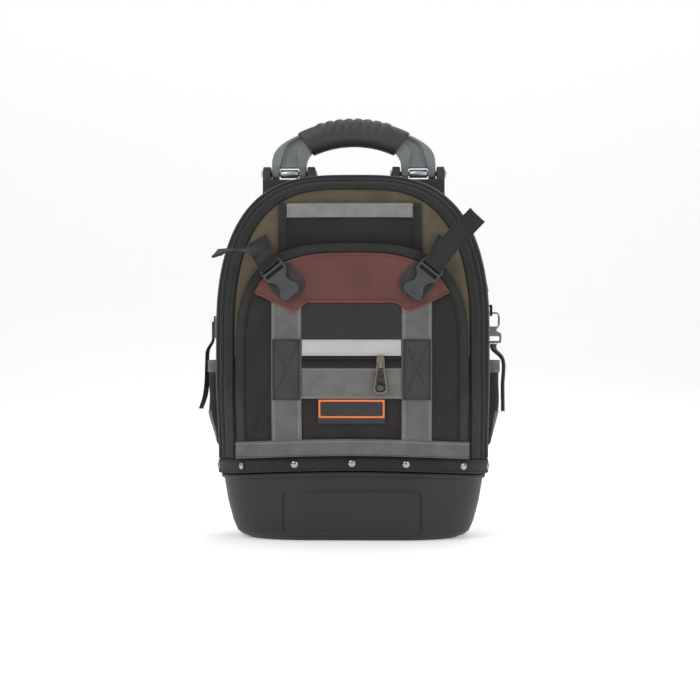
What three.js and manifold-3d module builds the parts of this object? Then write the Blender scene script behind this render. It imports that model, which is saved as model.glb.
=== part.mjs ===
// A two-bay tool backpack: a moulded base tub, an arched fabric body with zipped bays, a slip pocket held by
// two buckled straps, a folding carry handle on top, side pockets, a padded back and two shoulder straps.
// Millimetres. +Z is up, -Y is the front, +X is to the right seen from the front.
// The origin is at the middle of the base's flat underside.
import * as THREE from "three";
import { mergeVertices } from "three/addons/utils/BufferGeometryUtils.js";
import Module from "manifold-3d";

const wasm = await Module();
wasm.setup();

// Fabric body
const bodyWidth = 344;
const bodyDepth = 200;
const bodyTop = 462;
const archSpring = 262;        // height where the sides start to lean in
const archSidePower = 3.2;
const archTopPower = 2.4;
const bodyTaper = 5;           // how much the front and the back lean in by the top
const baseCornerX = 106;       // the plan's rounded corner at the base, along X
const baseCornerY = 74;
const edgeX = 24;              // the rounded front and back edges higher up
const edgeY = 38;
const edgeTopShare = 0.8;      // the same edge is slimmer over the top of the arch
const squareHeight = 215;      // height where the plan's corners have become those edges
const fabric = 2.2;
const gap = 0.4;               // between two sewn layers
const ringGap = 0.9;           // between layers round the base, whose facets differ

// Base tub
const rimHeight = 81.8;        // top of the tub's flange at the sides
const rimArch = 7;             // how much higher the rim stands in the middle of the front and back
const flangeHeight = 5.4;
const tubWall = 3;
const tubFloor = 4.5;
const tubUpstand = 16;         // the hidden wall that the fabric is riveted to
const tubDepthShare = 0.62;    // the tub's taper front to back, against side to side
const basePanelWidth = 171;    // the raised panel on the tub's front
const basePanelTop = 60.5;
const basePanelBottom = 8;
const basePanelRise = 2.4;
const basePanelCorner = 7;
// The tub's outer wall below the flange: inset from the body's plan, in mm
const tubRows = [
  { height: 0, inset: 37 },
  { height: 2.6, inset: 32.5 },
  { height: 3.6, inset: 28 },
  { height: 8.5, inset: 22 },
  { height: 21, inset: 16.5 },
  { height: 46, inset: 9.8 },
];
const tubNeckInset = 4.6;      // just under the flange
const flangeInset = 1.2;

// Webbing round the rim
const rimStrip = 18.5;
const rimLap = 1;              // plain stretch between the rim, its webbing and what is sewn above
const webbing = 1.5;
const zipThick = 1.6;

// Slip pocket on the front
const pocketWidth = 292;
const pocketTop = 374;
const pocketSpring = 236.5;
const pocketSidePower = 3;
const pocketTopPower = 2.8;
const pocketDepth = 24;
const pocketMouthShare = 0.8;  // depth left at the open top
const pocketSeam = 5.8;        // depth left at the sewn sides and bottom
const pocketSwell = 120;       // height over which the pocket reaches its depth
const pocketUnder = 0.5;       // the pocket's own cloth lies this much under what is sewn on it
const bindingWidth = 12;
const bindingRise = 1.2;

// Webbing, leather and panels sewn on the pocket
const stripWidth = 38;
const stripCentre = 81;
const bottomWebbing = 21.6;
const leather = 1.8;
const leatherBottom = 300;
const leatherPeakDrop = 12;
const leatherPeakX = 71;
const leatherNotchX = 57;
const leatherEndRise = 15;
const zipTop = 234;
const zipHeight = 15.2;
const reflectiveHeight = 20;
const ribbedHeight = 38.7;
const crossPatchWidth = 35;
const crossPatchTop = 254.6;
const crossPatchHeight = 76;
const labelWidth = 84;
const labelHeight = 31;

// Upper sleeve panel behind the slip pocket
const sleeveWidth = 179;
const sleeveTop = 424.7;
const sleeveBottom = 150;
const sleeveOff = 9;           // how far its open top stands off the door panel
const sleeveThick = 2.2;
const sleeveBand = 18;

// Buckles and their straps
const buckleLean = 38.6;       // degrees from upright
const buckleLift = 0.5;        // room for the leather's curve under the straight buckle
const buckleFootX = 71;
const buckleFootZ = 308;
const buckleLength = 50;
const buckleWidth = 31;
const strapWidth = 25;
const anchorZ = 380;           // where the fixed webbing meets the zip band
const tailLength = 85;         // the loose end past the buckle
const clipThick = 5.5;
const receiverThick = 2.6;
const clipBar = 3.5;           // the clip's bars that the webbing goes round

// Carry handle
const handlePivotZ = 472;
const gripRadius = 143.5;      // centre line of the grip's arc
const gripHalfAngle = 25.5;
const gripHigh = 36;
const gripThick = 34;
const gripTop = 543.2;
const gripRibs = 7;
const gripRibRise = 1.8;
const coreHigh = 20;
const coreThick = 14;
const armOuterX = 107;
const armWidth = 45;
const armThick = 20;
const legWidth = 9.5;
const legBelowPivot = 7.6;      // the legs' ends are round about the pivot
const pinRadius = 3.2;
const pinGap = 0.35;
const legCorner = 3;
const armShoulder = 32;        // where the arm's outer edge starts to bend in, above the pivot
const armFork = 8;             // the same on its inner edge
const sleeveRadius = 5.5;
const earThick = 10.5;
const earGap = 1.2;
const earHalfDepth = 9;
const bracketDepth = 34;
const bracketSeat = 463.6;

// Side gear
const sidePocketWidth = 62;
const sidePocketY = 3.5;
const sidePocketTop = 228;
const sidePocketBottom = 118;
const sidePocketDepth = 17;
const sideBand = 16;
const sideSeam = 2.8;          // depth left at the sewn edges
const rearZipY = 48;
const rearZipWidth = 24;
const sideSliderZ = 356;
const sideGearY = 8;
const clipTop = 284;
const clipFoot = 258;
const clipStand = 10;
const clipWidth = 22;
const clipMetal = 1.8;
const clipTab = 7;             // the riveted feet of the clip
const hangLength = 94;         // the strap below the clip
const ringZ = 293;
const ringWidth = 19;
const ringHeight = 15;
const ringWire = 2.4;
const ringThick = 2.6;
const tabLength = 26;          // the sewn tab above the ring's middle
const hookWire = 2.6;
const hookWidth = 17;
const hookFootWidth = 21;
const hookLength = 41;
const hookThick = 4;
const loopLength = 88;         // the webbing loop below the hook

// Zip sliders and pullers
const pullerLength = 41;
const pullerWidth = 17;
const pullerNeck = 10;
const sliderLength = 15;
const sliderWidth = 11;
const frontPullerX = 36;

// Back
const backPadThick = 12;
const backPadInset = 22;
const shoulderWidth = 62;
const shoulderThick = 11;
const shoulderTop = 420;
const shoulderEnd = 190;
const shoulderTopX = 40;
const shoulderEndX = 116;
const shoulderBow = 37;        // how far the straps stand off the back pad
// Down a strap: shares of the way down, of the way outwards and of the bow
const shoulderRows = [
  { down: 0, out: 0, bow: 0, lean: 0 },
  { down: 0.12, out: 0.09, bow: 0.32, lean: 0 },
  { down: 0.39, out: 0.32, bow: 0.95, lean: 0.2 },
  { down: 0.66, out: 0.6, bow: 1, lean: 0.35 },
  { down: 0.88, out: 0.87, bow: 0.57, lean: 0.3 },
  { down: 1, out: 1, bow: 0.24, lean: 0.25 },
];
const lockWidth = 32;
const lockLength = 22;
const lockThick = 4;
const lowerStrapZ = 121;
const lowerStrapX = 150;

const halfWidth = bodyWidth / 2;
const halfDepth = bodyDepth / 2;
const halfPocket = pocketWidth / 2;
const archRise = bodyTop - archSpring;

const clamp = (x, low, high) => Math.min(high, Math.max(low, x));
const mix = (a, b, t) => a + (b - a) * t;
const smooth = (low, high, x) => {
  const t = clamp((x - low) / (high - low), 0, 1);
  return t * t * (3 - 2 * t);
};
const steps = (count) => Array.from({ length: count + 1 }, (_, i) => i / count);
const radians = THREE.MathUtils.degToRad;

const rimTop = (x) => rimHeight + rimArch * (1 - clamp((x / halfWidth) ** 2, 0, 1));
const bodyFoot = (x) => rimTop(x) + gap;
const depthAt = (z) => halfDepth - bodyTaper * clamp((z - rimHeight) / (bodyTop - rimHeight), 0, 1);

// The plan's corner at a height, as an ellipse's two radii.
function cornerAt(z) {
  const t = smooth(rimHeight + rimArch + rimStrip, squareHeight, z);
  return { x: mix(baseCornerX, edgeX, t), y: mix(baseCornerY, edgeY, t) };
}

// A closed body between two grids of the same size, front and back.
function slab(front, back) {
  const rows = front.length;
  const columns = front[0].length;
  const positions = [];
  const put = (a, b, c) => positions.push(...a, ...b, ...c);
  const quad = (a, b, c, d) => {
    put(a, b, c);
    put(a, c, d);
  };
  for (let i = 0; i < rows - 1; i++) {
    for (let j = 0; j < columns - 1; j++) {
      quad(front[i][j], front[i][j + 1], front[i + 1][j + 1], front[i + 1][j]);
      quad(back[i][j], back[i + 1][j], back[i + 1][j + 1], back[i][j + 1]);
    }
    quad(front[i][0], front[i + 1][0], back[i + 1][0], back[i][0]);
    quad(front[i + 1][columns - 1], front[i][columns - 1], back[i][columns - 1], back[i + 1][columns - 1]);
  }
  for (let j = 0; j < columns - 1; j++) {
    quad(front[0][j + 1], front[0][j], back[0][j], back[0][j + 1]);
    quad(front[rows - 1][j], front[rows - 1][j + 1], back[rows - 1][j + 1], back[rows - 1][j]);
  }
  return facingOut(positions);
}

// A body lofted through closed rings. It is capped at both ends, or joined round if it is a loop.
function loft(rings, loop = false) {
  const positions = [];
  const count = rings[0].length;
  const joints = loop ? rings.length : rings.length - 1;
  for (let i = 0; i < joints; i++) {
    const low = rings[i];
    const high = rings[(i + 1) % rings.length];
    for (let j = 0; j < count; j++) {
      const k = (j + 1) % count;
      positions.push(...low[j], ...low[k], ...high[k], ...low[j], ...high[k], ...high[j]);
    }
  }
  if (!loop) {
    const cap = (ring, turned) => {
      const middle = [0, 1, 2].map((axis) => ring.reduce((sum, p) => sum + p[axis], 0) / count);
      for (let j = 0; j < count; j++) {
        const pair = [ring[j], ring[(j + 1) % count]];
        if (turned) pair.reverse();
        positions.push(...middle, ...pair[0], ...pair[1]);
      }
    };
    cap(rings[0], true);
    cap(rings[rings.length - 1], false);
  }
  return facingOut(positions);
}

// Turns the faces round if they point in.
function facingOut(positions) {
  const p = new Float32Array(positions);
  const corner = (i) => new THREE.Vector3(p[i], p[i + 1], p[i + 2]);
  let volume = 0;
  for (let i = 0; i < p.length; i += 9) volume += corner(i).dot(corner(i + 3).cross(corner(i + 6)));
  if (volume < 0) {
    for (let i = 0; i < p.length; i += 9) {
      for (let k = 0; k < 3; k++) [p[i + 3 + k], p[i + 6 + k]] = [p[i + 6 + k], p[i + 3 + k]];
    }
  }
  return new THREE.BufferGeometry().setAttribute("position", new THREE.BufferAttribute(p, 3));
}

function solid(geometry) {
  const plain = new THREE.BufferGeometry();
  const flat = geometry.index ? geometry.toNonIndexed() : geometry;
  plain.setAttribute("position", flat.getAttribute("position"));
  const merged = mergeVertices(plain, 1e-3);
  return new wasm.Manifold(
    new wasm.Mesh({
      numProp: 3,
      vertProperties: merged.attributes.position.array,
      triVerts: new Uint32Array(merged.index.array),
    }),
  );
}

function geometryOf(made) {
  const mesh = made.getMesh();
  const g = new THREE.BufferGeometry();
  g.setAttribute("position", new THREE.BufferAttribute(new Float32Array(mesh.vertProperties), 3));
  g.setIndex(new THREE.BufferAttribute(new Uint32Array(mesh.triVerts), 1));
  return g;
}

const bag = new THREE.Group();
bag.name = "tool_backpack";

const finishes = {
  canvas: { color: 0x33302e, roughness: 0.9 },
  khaki: { color: 0x6f6558, roughness: 0.85 },
  grey: { color: 0x6d6e6b, roughness: 0.85 },
  silver: { color: 0xb4b4b2, roughness: 0.5 },
  leather: { color: 0x643a34, roughness: 0.6 },
  plastic: { color: 0x2e2d2c, roughness: 0.55 },
  rubber: { color: 0x3f3f41, roughness: 0.7 },
  coated: { color: 0x6d7272, roughness: 0.45, metalness: 0.3 },
  steel: { color: 0xb9babd, roughness: 0.25, metalness: 1 },
  nickel: { color: 0x8a847d, roughness: 0.3, metalness: 1 },
  orange: { color: 0xe0763b, roughness: 0.6 },
};
for (const [name, values] of Object.entries(finishes)) {
  finishes[name] = new THREE.MeshStandardMaterial(values);
}

function add(name, geometry, finish, parent = bag) {
  const mesh = new THREE.Mesh(geometry, finishes[finish]);
  mesh.name = name;
  parent.add(mesh);
  return mesh;
}

// Arch path: stations from the left foot, over the top, to the right foot. A leg's station holds a share of
// the height up to the spring, and an arch's station the angle round it.
const bandFootShare = (rimStrip + 2 * rimLap - gap) / (archSpring - rimHeight - gap);
const legShares = [0, bandFootShare, 0.28, 0.48, 0.7];
const archAngles = steps(15).map((t) => Math.PI * (1 - t));
const archStations = [
  ...legShares.map((share) => ({ side: -1, share })),
  ...archAngles.map((angle) => ({ angle })),
  ...legShares.toReversed().map((share) => ({ side: 1, share })),
];

// Point of the arch at an angle, when it is inset by (insetX, insetZ).
function archPoint(angle, insetX, insetZ) {
  const a = halfWidth - insetX;
  const h = archRise - insetZ;
  const c = Math.abs(Math.cos(angle));
  const s = Math.abs(Math.sin(angle));
  let low = 0;
  let high = 2 * (a + h);
  for (let i = 0; i < 48; i++) {
    const r = (low + high) / 2;
    const reach = ((r * c) / a) ** archSidePower + ((r * s) / h) ** archTopPower;
    if (reach > 1) high = r;
    else low = r;
  }
  return [Math.cos(angle) * low, archSpring + Math.sin(angle) * low];
}

// The body's skin at one station: turn runs from -1, the edge of the front opening, to 1, that of the back
// one, with the rounded edges beyond the flat side. lift is measured outwards.
function skinPoint(station, turn, lift) {
  const flat = 0.4;
  const legZ = "share" in station ? mix(bodyFoot(halfWidth), archSpring, station.share) : archSpring;
  const corner = cornerAt(legZ);
  const onEdge = Math.max(0, Math.abs(turn) - flat) / (1 - flat);
  const reach = Math.acos(1 - edgeX / corner.x) * onEdge;
  const out = Math.cos(reach);
  const inset = corner.x * (1 - out);
  const insetX = inset - lift * out;
  const insetZ = edgeTopShare * inset - lift * out;
  let x;
  let z;
  if ("share" in station) {
    x = station.side * (halfWidth - insetX);
    z = mix(bodyFoot(x), archSpring, station.share);
  } else {
    [x, z] = archPoint(station.angle, insetX, insetZ);
  }
  const straight = depthAt(z) - corner.y;
  const y = onEdge > 0
    ? Math.sign(turn) * (straight + (corner.y + lift) * Math.sin(reach))
    : (turn / flat) * straight;
  return [x, y, z];
}

function skinBand(stations, turns, lowLift, highLift) {
  const grid = (lift) => stations.map((station) => turns.map((turn) => skinPoint(station, turn, lift)));
  return slab(grid(highLift), grid(lowLift));
}

const bandStations = archStations.slice(1, -1);
const edgeTurns = [-1, -0.8, -0.6, -0.4, 0.4, 0.6, 0.8, 1];
const frontZipTurns = [-0.985, -0.8, -0.6, -0.43];

function buildBody() {
  add("body_shell", skinBand(archStations, edgeTurns, -fabric, 0), "canvas");
  add("front_zip_band", skinBand(bandStations, frontZipTurns, gap, gap + 2), "canvas");
  add("rear_zip_band", rearZipBand(), "canvas");
  add("door_panel", facePanel(-1, archStations, faceColumns, 0, fabric, 0), "khaki");
  add("back_panel", facePanel(1, archStations, faceColumns, 0, fabric, 0), "canvas");
}

// The rear zip runs at one depth, up the flat sides and over the top.
const highStations = archStations.filter((station) => !("share" in station) || station.share === 0);

function rearZipPoint(station, y, lift) {
  const straight = depthAt(archSpring) - edgeY;
  const reach = Math.asin(clamp((y - straight) / edgeY, 0, 1));
  const inset = edgeX * (1 - Math.cos(reach));
  if (!("share" in station)) {
    const [x, z] = archPoint(station.angle, inset - lift, edgeTopShare * inset - lift);
    return [x, y, z];
  }
  return [station.side * (halfWidth - inset + lift), y, squareHeight];
}

function rearZipBand() {
  const depths = [-1, 0, 1].map((side) => rearZipY + (side * rearZipWidth) / 2);
  const grid = (lift) => highStations.map((station) => depths.map((y) => rearZipPoint(station, y, lift)));
  return slab(grid(ringGap + zipThick), grid(ringGap));
}

// Where the rear zip's outer face is at a height on the right, and which way it runs up there.
function rearZipPlace(z) {
  const lift = ringGap + zipThick;
  const line = highStations.map((station) => new THREE.Vector3(...rearZipPoint(station, rearZipY, lift)));
  const i = line.findIndex((p, k) => k > highStations.length / 2 && p.z <= z);
  const [above, below] = [line[i - 1], line[i]];
  const at = above.clone().lerp(below, (above.z - z) / (above.z - below.z));
  return { at, up: above.clone().sub(below).normalize() };
}

// How far the face lies from the body's middle plane at a place on it.
function faceY(x, z) {
  const corner = cornerAt(z);
  const along = clamp((Math.abs(x) - (halfWidth - corner.x)) / corner.x, 0, 1);
  return depthAt(z) - corner.y + corner.y * Math.sqrt(1 - along * along);
}

const faceColumns = [-1, -0.86, -0.7, -0.45, 0, 0.45, 0.7, 0.86, 1];

// Half width of the door panel at a height on the arch.
function doorEdgeX(z) {
  const up = clamp((z - archSpring) / (archRise - edgeTopShare * edgeX), 0, 1);
  return (halfWidth - edgeX) * (1 - up ** archTopPower) ** (1 / archSidePower);
}

// A panel that fills the front (side -1) or the back (side 1) of the body's shell. Its edge is cut square to
// the skin, like the shell's own.
function facePanel(side, stations, columns, lift, thick, shrink) {
  const half = Math.ceil(stations.length / 2);
  const row = (station, depth) => {
    const z = "share" in station ? mix(bodyFoot(halfWidth), archSpring, station.share) : archSpring;
    const inset = edgeX + 2 * gap + shrink - Math.min(depth, 0) * (1 - edgeX / cornerAt(z).x);
    const edge = "share" in station
      ? [halfWidth - inset, 0]
      : archPoint(Math.PI - station.angle, inset, edgeTopShare * edgeX + 2 * gap + shrink);
    return columns.map((share) => {
      const x = share * edge[0];
      const z = "share" in station ? mix(bodyFoot(x), archSpring, station.share) : edge[1];
      return [x, side * (faceY(x, z) + depth), z];
    });
  };
  const rows = stations.slice(0, half);
  return slab(rows.map((s) => row(s, lift)), rows.map((s) => row(s, lift - thick)));
}

// Plan ring of the body at the base, inset all round.
function planRing(insetX, insetY, height, cornerSteps = 6) {
  const a = halfWidth - insetX;
  const b = halfDepth - insetY;
  const rx = baseCornerX - insetX * 0.8;
  const ry = baseCornerY - insetY * 0.8;
  const quarter = steps(cornerSteps).map((t) => {
    const angle = (t * Math.PI) / 2;
    return [a - rx + rx * Math.cos(angle), b - ry + ry * Math.sin(angle)];
  });
  const right = [...quarter, [0, b]];
  const left = right.slice(0, -1).toReversed().map(([x, y]) => [-x, y]);
  const back = [...right, ...left];
  const front = back.toReversed().map(([x, y]) => [x, -y]);
  return [...back, ...front].map(([x, y]) => [x, y, height(x)]);
}

// Heights on the tub follow the rim's arch more the higher they are.
const tubHeight = (h) => (x) => h + (rimTop(x) - rimHeight) * clamp(h / rimHeight, 0, 1) ** 2;

function tubInsetAt(z) {
  const rows = [...tubRows, { height: rimHeight - flangeHeight, inset: tubNeckInset }];
  const next = rows.findIndex((row) => row.height >= z);
  if (next < 1) return rows[next < 0 ? rows.length - 1 : 0].inset;
  const [low, high] = [rows[next - 1], rows[next]];
  return mix(low.inset, high.inset, (z - low.height) / (high.height - low.height));
}

function buildBase() {
  const outer = [...tubRows, { height: rimHeight - flangeHeight, inset: tubNeckInset }];
  const ring = (inset, height) => planRing(inset, inset * tubDepthShare, tubHeight(height));
  const level = (inset, height) => planRing(inset, inset, tubHeight(height));
  const upstandInset = fabric + ringGap + gap;
  const inner = outer.filter((row) => row.height > tubFloor).toReversed();
  const rings = [
    ...outer.map((row) => ring(row.inset, row.height)),
    level(flangeInset, rimHeight - flangeHeight),
    level(flangeInset, rimHeight),
    level(upstandInset, rimHeight),
    level(upstandInset, rimHeight + tubUpstand),
    level(upstandInset + tubWall, rimHeight + tubUpstand),
    level(upstandInset + tubWall, rimHeight),
    ...inner.map((row) => ring(row.inset + tubWall, row.height)),
    ring(tubInsetAt(tubFloor) + tubWall, tubFloor),
  ];
  // The raised panel follows the tub's front, proud of it.
  const tubY = (x, z) => {
    const insetY = tubInsetAt(z) * tubDepthShare;
    const a = halfWidth - tubInsetAt(z);
    const rx = baseCornerX - tubInsetAt(z) * 0.8;
    const ry = baseCornerY - insetY * 0.8;
    const along = clamp((Math.abs(x) - (a - rx)) / rx, 0, 1);
    return halfDepth - insetY - ry + ry * Math.sqrt(1 - along * along);
  };
  const columns = [-1, -0.96, -0.8, -0.55, -0.28, 0, 0.28, 0.55, 0.8, 0.96, 1];
  const rows = [...steps(4).map((t) => t * 0.86), 0.93, 1];
  const panel = (rise) => rows.map((v) => columns.map((u) => {
    const x = (u * basePanelWidth) / 2;
    const rounded = Math.abs(u) === 1 ? basePanelCorner : 0;
    const z = mix(basePanelBottom, basePanelTop - rounded, v);
    return [x, -(tubY(x, z) + rise), tubHeight(z)(x)];
  }));
  const tub = solid(loft(rings)).add(solid(slab(panel(basePanelRise), panel(-tubWall / 2))));
  add("base_tub", geometryOf(tub), "plastic");

  const strip = (inset, rise) => planRing(inset, inset, (x) => rimTop(x) + rise, 9);
  add("rim_strip", loft([
    strip(-ringGap, rimLap),
    strip(-ringGap - webbing, rimLap),
    strip(-ringGap - webbing, rimStrip),
    strip(-ringGap, rimStrip),
  ], true), "canvas");
}

// Pocket outline: the height of its top edge at x, when it is inset.
function pocketEdge(x, inset = 0) {
  const a = halfPocket - inset;
  const h = pocketTop - pocketSpring - inset;
  const left = 1 - clamp(Math.abs(x) / a, 0, 1) ** pocketSidePower;
  return pocketSpring + h * left ** (1 / pocketTopPower);
}

const pocketFoot = (x) => rimTop(x) + rimStrip + rimLap;

// The pocket's front face, from the body's middle plane.
function pocketY(x, z) {
  const across = 1 - clamp(Math.abs(x) / halfPocket, 0, 1) ** 4;
  const up = 1 - (1 - clamp((z - pocketFoot(x)) / pocketSwell, 0, 1)) ** 2;
  const mouth = mix(1, pocketMouthShare, smooth(pocketSpring + 50, pocketTop, z));
  return faceY(x, z) + pocketSeam + (pocketDepth - pocketSeam) * across * up * mouth;
}

// A sheet on the pocket's face. place turns (u, v), each 0 to 1, into a place (x, z) on it.
function pocketSheet(place, columns, rows, lift, thick) {
  const us = Array.isArray(columns) ? columns : steps(columns);
  const vs = Array.isArray(rows) ? rows : steps(rows);
  const grid = (rise) => vs.map((v) => us.map((u) => {
    const [x, z] = place(u, v);
    return [x, -(pocketY(x, z) + rise), z];
  }));
  return slab(grid(lift + thick), grid(lift));
}

const rectangle = (left, right, bottom, top) => (u, v) => [mix(left, right, u), mix(bottom, top, v)];

function buildPocket() {
  const spread = (u) => Math.sin(Math.PI * (u - 0.5));
  const wholeFace = (u, v) => {
    const x = halfPocket * spread(u);
    return [x, mix(pocketFoot(x), pocketEdge(x), v)];
  };
  const shares = [0, 0.14, 0.3, 0.5, 0.76, 1];
  add("pocket_shell", pocketSheet(wholeFace, 14, shares, -fabric - pocketUnder, fabric), "canvas");

  // The binding follows the pocket's edge: u runs along it and v across it.
  const alongEdge = (u, inset) => {
    const a = halfPocket - inset;
    const legs = 0.18;
    if (u < legs || u > 1 - legs) {
      const side = u < 0.5 ? -1 : 1;
      const share = u < 0.5 ? u / legs : (1 - u) / legs;
      const x = side * a;
      return [x, mix(pocketFoot(x) + bottomWebbing + rimLap, pocketSpring, share)];
    }
    const angle = Math.PI * (1 - (u - legs) / (1 - 2 * legs));
    const x = a * Math.sign(Math.cos(angle)) * Math.abs(Math.cos(angle)) ** (2 / pocketSidePower);
    return [x, pocketEdge(x, inset)];
  };
  const binding = (u, v) => alongEdge(u, mix(1, bindingWidth, v));
  add("pocket_binding", pocketSheet(binding, 28, 1, gap, bindingRise), "canvas");

  const inner = bindingWidth + 1;
  const leatherEdge = (x) => {
    const d = Math.abs(x);
    if (d < leatherNotchX) return leatherBottom;
    const peak = leatherBottom - leatherPeakDrop;
    if (d < leatherPeakX) {
      return mix(leatherBottom, peak, (d - leatherNotchX) / (leatherPeakX - leatherNotchX));
    }
    return mix(peak, leatherBottom + leatherEndRise, (d - leatherPeakX) / (leatherEnd - leatherPeakX));
  };
  const leatherEnd = halfPocket - inner - 6;
  const leatherXs = [1, 0.93, 0.84, 0.72, leatherPeakX / leatherEnd, leatherNotchX / leatherEnd, 0.22, 0];
  const leatherShares = [...leatherXs.map((s) => -s), ...leatherXs.slice(0, -1).toReversed()];
  const leatherPlace = (share, v) => {
    const x = share * leatherEnd;
    return [x, mix(leatherEdge(x), Math.max(pocketEdge(x, inner), leatherEdge(x) + 3), v)];
  };
  add("leather_panel", pocketSheet(leatherPlace, leatherShares, 2, gap + webbing + gap, leather), "leather");

  for (const [name, side] of [["left", -1], ["right", 1]]) {
    const place = (u, v) => {
      const x = side * stripCentre + (u - 0.5) * stripWidth;
      return [x, mix(pocketFoot(x) + bottomWebbing + rimLap, leatherBottom + 2, v)];
    };
    add("webbing_" + name, pocketSheet(place, 3, 7, gap, webbing), "grey");
    const middle = side * stripCentre;
    const halfPatch = crossPatchWidth / 2;
    const patch = rectangle(
      middle - halfPatch, middle + halfPatch, crossPatchTop - crossPatchHeight, crossPatchTop,
    );
    add("cross_patch_" + name, pocketSheet(patch, 3, 4, 2 * gap + webbing, 1.3), "rubber");
  }
  const bottomPlace = (u, v) => {
    const x = spread(u) * (halfPocket + 2);
    return [x, pocketFoot(x) + bottomWebbing * v];
  };
  add("webbing_bottom", pocketSheet(bottomPlace, 16, 2, ringGap, webbing), "grey");

  const between = stripCentre - stripWidth / 2 - gap;
  const panel = (name, top, height, lift, thick, finish, half = between, rows = 2) =>
    add(name, pocketSheet(rectangle(-half, half, top - height, top), 8, rows, lift, thick), finish);
  const reflectiveTop = zipTop + reflectiveHeight;
  const ribbedTop = zipTop - zipHeight;
  const ribbedBottom = ribbedTop - ribbedHeight;
  panel("name_patch", leatherBottom - gap, leatherBottom - 2 * gap - reflectiveTop, gap, 1.4, "rubber");
  panel("reflective_strip", reflectiveTop, reflectiveHeight - gap, gap, 1.2, "silver");
  panel("zip_chain", zipTop, zipHeight - gap, gap, zipThick, "canvas");
  panel("ribbed_panel", ribbedTop, ribbedHeight - gap, gap, webbing, "grey");
  panel("label", ribbedBottom - gap, labelHeight, gap, 1.2, "orange", labelWidth / 2);
}

const sleeveColumns = [-1, -0.78, -0.5, 0, 0.5, 0.78, 1];

// The sleeve is sewn down at its sides and bottom and swells towards its open top.
function buildSleevePanel() {
  const half = sleeveWidth / 2;
  const swell = (x, z) => {
    const up = clamp((z - sleeveBottom) / (sleeveTop - sleeveBottom), 0, 1);
    return gap + (sleeveOff - gap) * up * (1 - clamp(Math.abs(x) / half, 0, 1) ** 4);
  };
  const sheet = (reach, bottom, top, rows, lift, thick) => {
    const grid = (rise) => steps(rows).map((v) => sleeveColumns.map((share) => {
      const x = share * reach;
      const z = mix(bottom, top, v);
      return [x, -(faceY(x, z) + swell(x, z) + rise), z];
    }));
    return slab(grid(lift + thick), grid(lift));
  };
  add("sleeve_panel", sheet(half, sleeveBottom, sleeveTop, 4, 0, sleeveThick), "canvas");
  const bandFoot = sleeveTop - sleeveBand;
  const front = sleeveThick + 2 * gap;
  add("sleeve_band", sheet(half - bindingWidth, bandFoot, sleeveTop - 1, 1, front, webbing), "silver");
}

// A flat strap along a curve. Each row gives a point of its centre line and the direction across it.
function strap(rows, width, thick, count, parts = 1) {
  const line = new THREE.CatmullRomCurve3(rows.map((r) => new THREE.Vector3(...r.at)), false, "centripetal");
  const acrossLine = new THREE.CatmullRomCurve3(rows.map((r) => new THREE.Vector3(...r.across).normalize()));
  const face = (side) => steps(count).map((t) => {
    const at = line.getPoint(t);
    const along = line.getTangent(t);
    const across = acrossLine.getPoint(t);
    across.addScaledVector(along, -across.dot(along)).normalize();
    const normal = new THREE.Vector3().crossVectors(along, across).normalize();
    return steps(parts).map((v) => at.clone()
      .addScaledVector(across, (v - 0.5) * width)
      .addScaledVector(normal, (side * thick) / 2).toArray());
  });
  return slab(face(1), face(-1));
}

// Buckle parts, in the buckle's own frame: x across it, y up its length from its foot and z off the pocket.
function roundedShape(points, radius) {
  const shape = new THREE.Shape();
  const count = points.length;
  const towards = (from, to, distance) => {
    const a = new THREE.Vector2(...from);
    const b = new THREE.Vector2(...to);
    return a.add(b.sub(a).setLength(distance));
  };
  points.forEach((point, i) => {
    const before = points[(i + count - 1) % count];
    const after = points[(i + 1) % count];
    const enter = towards(point, before, radius);
    const leave = towards(point, after, radius);
    if (i === 0) shape.moveTo(enter.x, enter.y);
    else shape.lineTo(enter.x, enter.y);
    shape.quadraticCurveTo(point[0], point[1], leave.x, leave.y);
  });
  shape.closePath();
  return shape;
}

const extrude = (shape, depth, curveSegments = 2) =>
  new THREE.ExtrudeGeometry(shape, { depth, bevelEnabled: false, curveSegments });

// Outlines of the receiver and of the clip in it, as shares of the buckle's half width and of its length
const receiverOutline = [
  { wide: 0.82, up: 0 },
  { wide: 1.26, up: 0.24 },
  { wide: 1.3, up: 0.82 },
];
const clipOutline = [
  { wide: 0.8, up: 0.12 },
  { wide: 0.78, up: 0.24 },
  { wide: 0.52, up: 0.4 },
  { wide: 1, up: 0.7 },
  { wide: 1, up: 1 },
];

// Both halves of an outline that is given for its right half, bottom to top.
function bothHalves(outline) {
  const right = outline.map(({ wide, up }) => [(wide * buckleWidth) / 2, up * buckleLength]);
  return [...right, ...right.toReversed().map(([x, y]) => [-x, y])];
}

function receiverGeometry() {
  const corner = buckleWidth / 6;
  return extrude(roundedShape(bothHalves(receiverOutline), corner), receiverThick);
}

function clipGeometry() {
  const corner = buckleWidth / 20;
  const shape = roundedShape(bothHalves(clipOutline), corner);
  const wide = strapWidth / 2 + gap;
  const slot = (low, high) => {
    const path = new THREE.Path();
    path.moveTo(-wide, low);
    path.lineTo(-wide, high);
    path.lineTo(wide, high);
    path.lineTo(wide, low);
    path.closePath();
    shape.holes.push(path);
  };
  const frameTop = buckleLength - clipBar + 0.5;
  const slotHigh = (frameTop - 0.73 * buckleLength - clipBar) / 2;
  slot(frameTop - slotHigh, frameTop);
  slot(frameTop - 2 * slotHigh - clipBar, frameTop - slotHigh - clipBar);
  return extrude(shape, clipThick);
}

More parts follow.
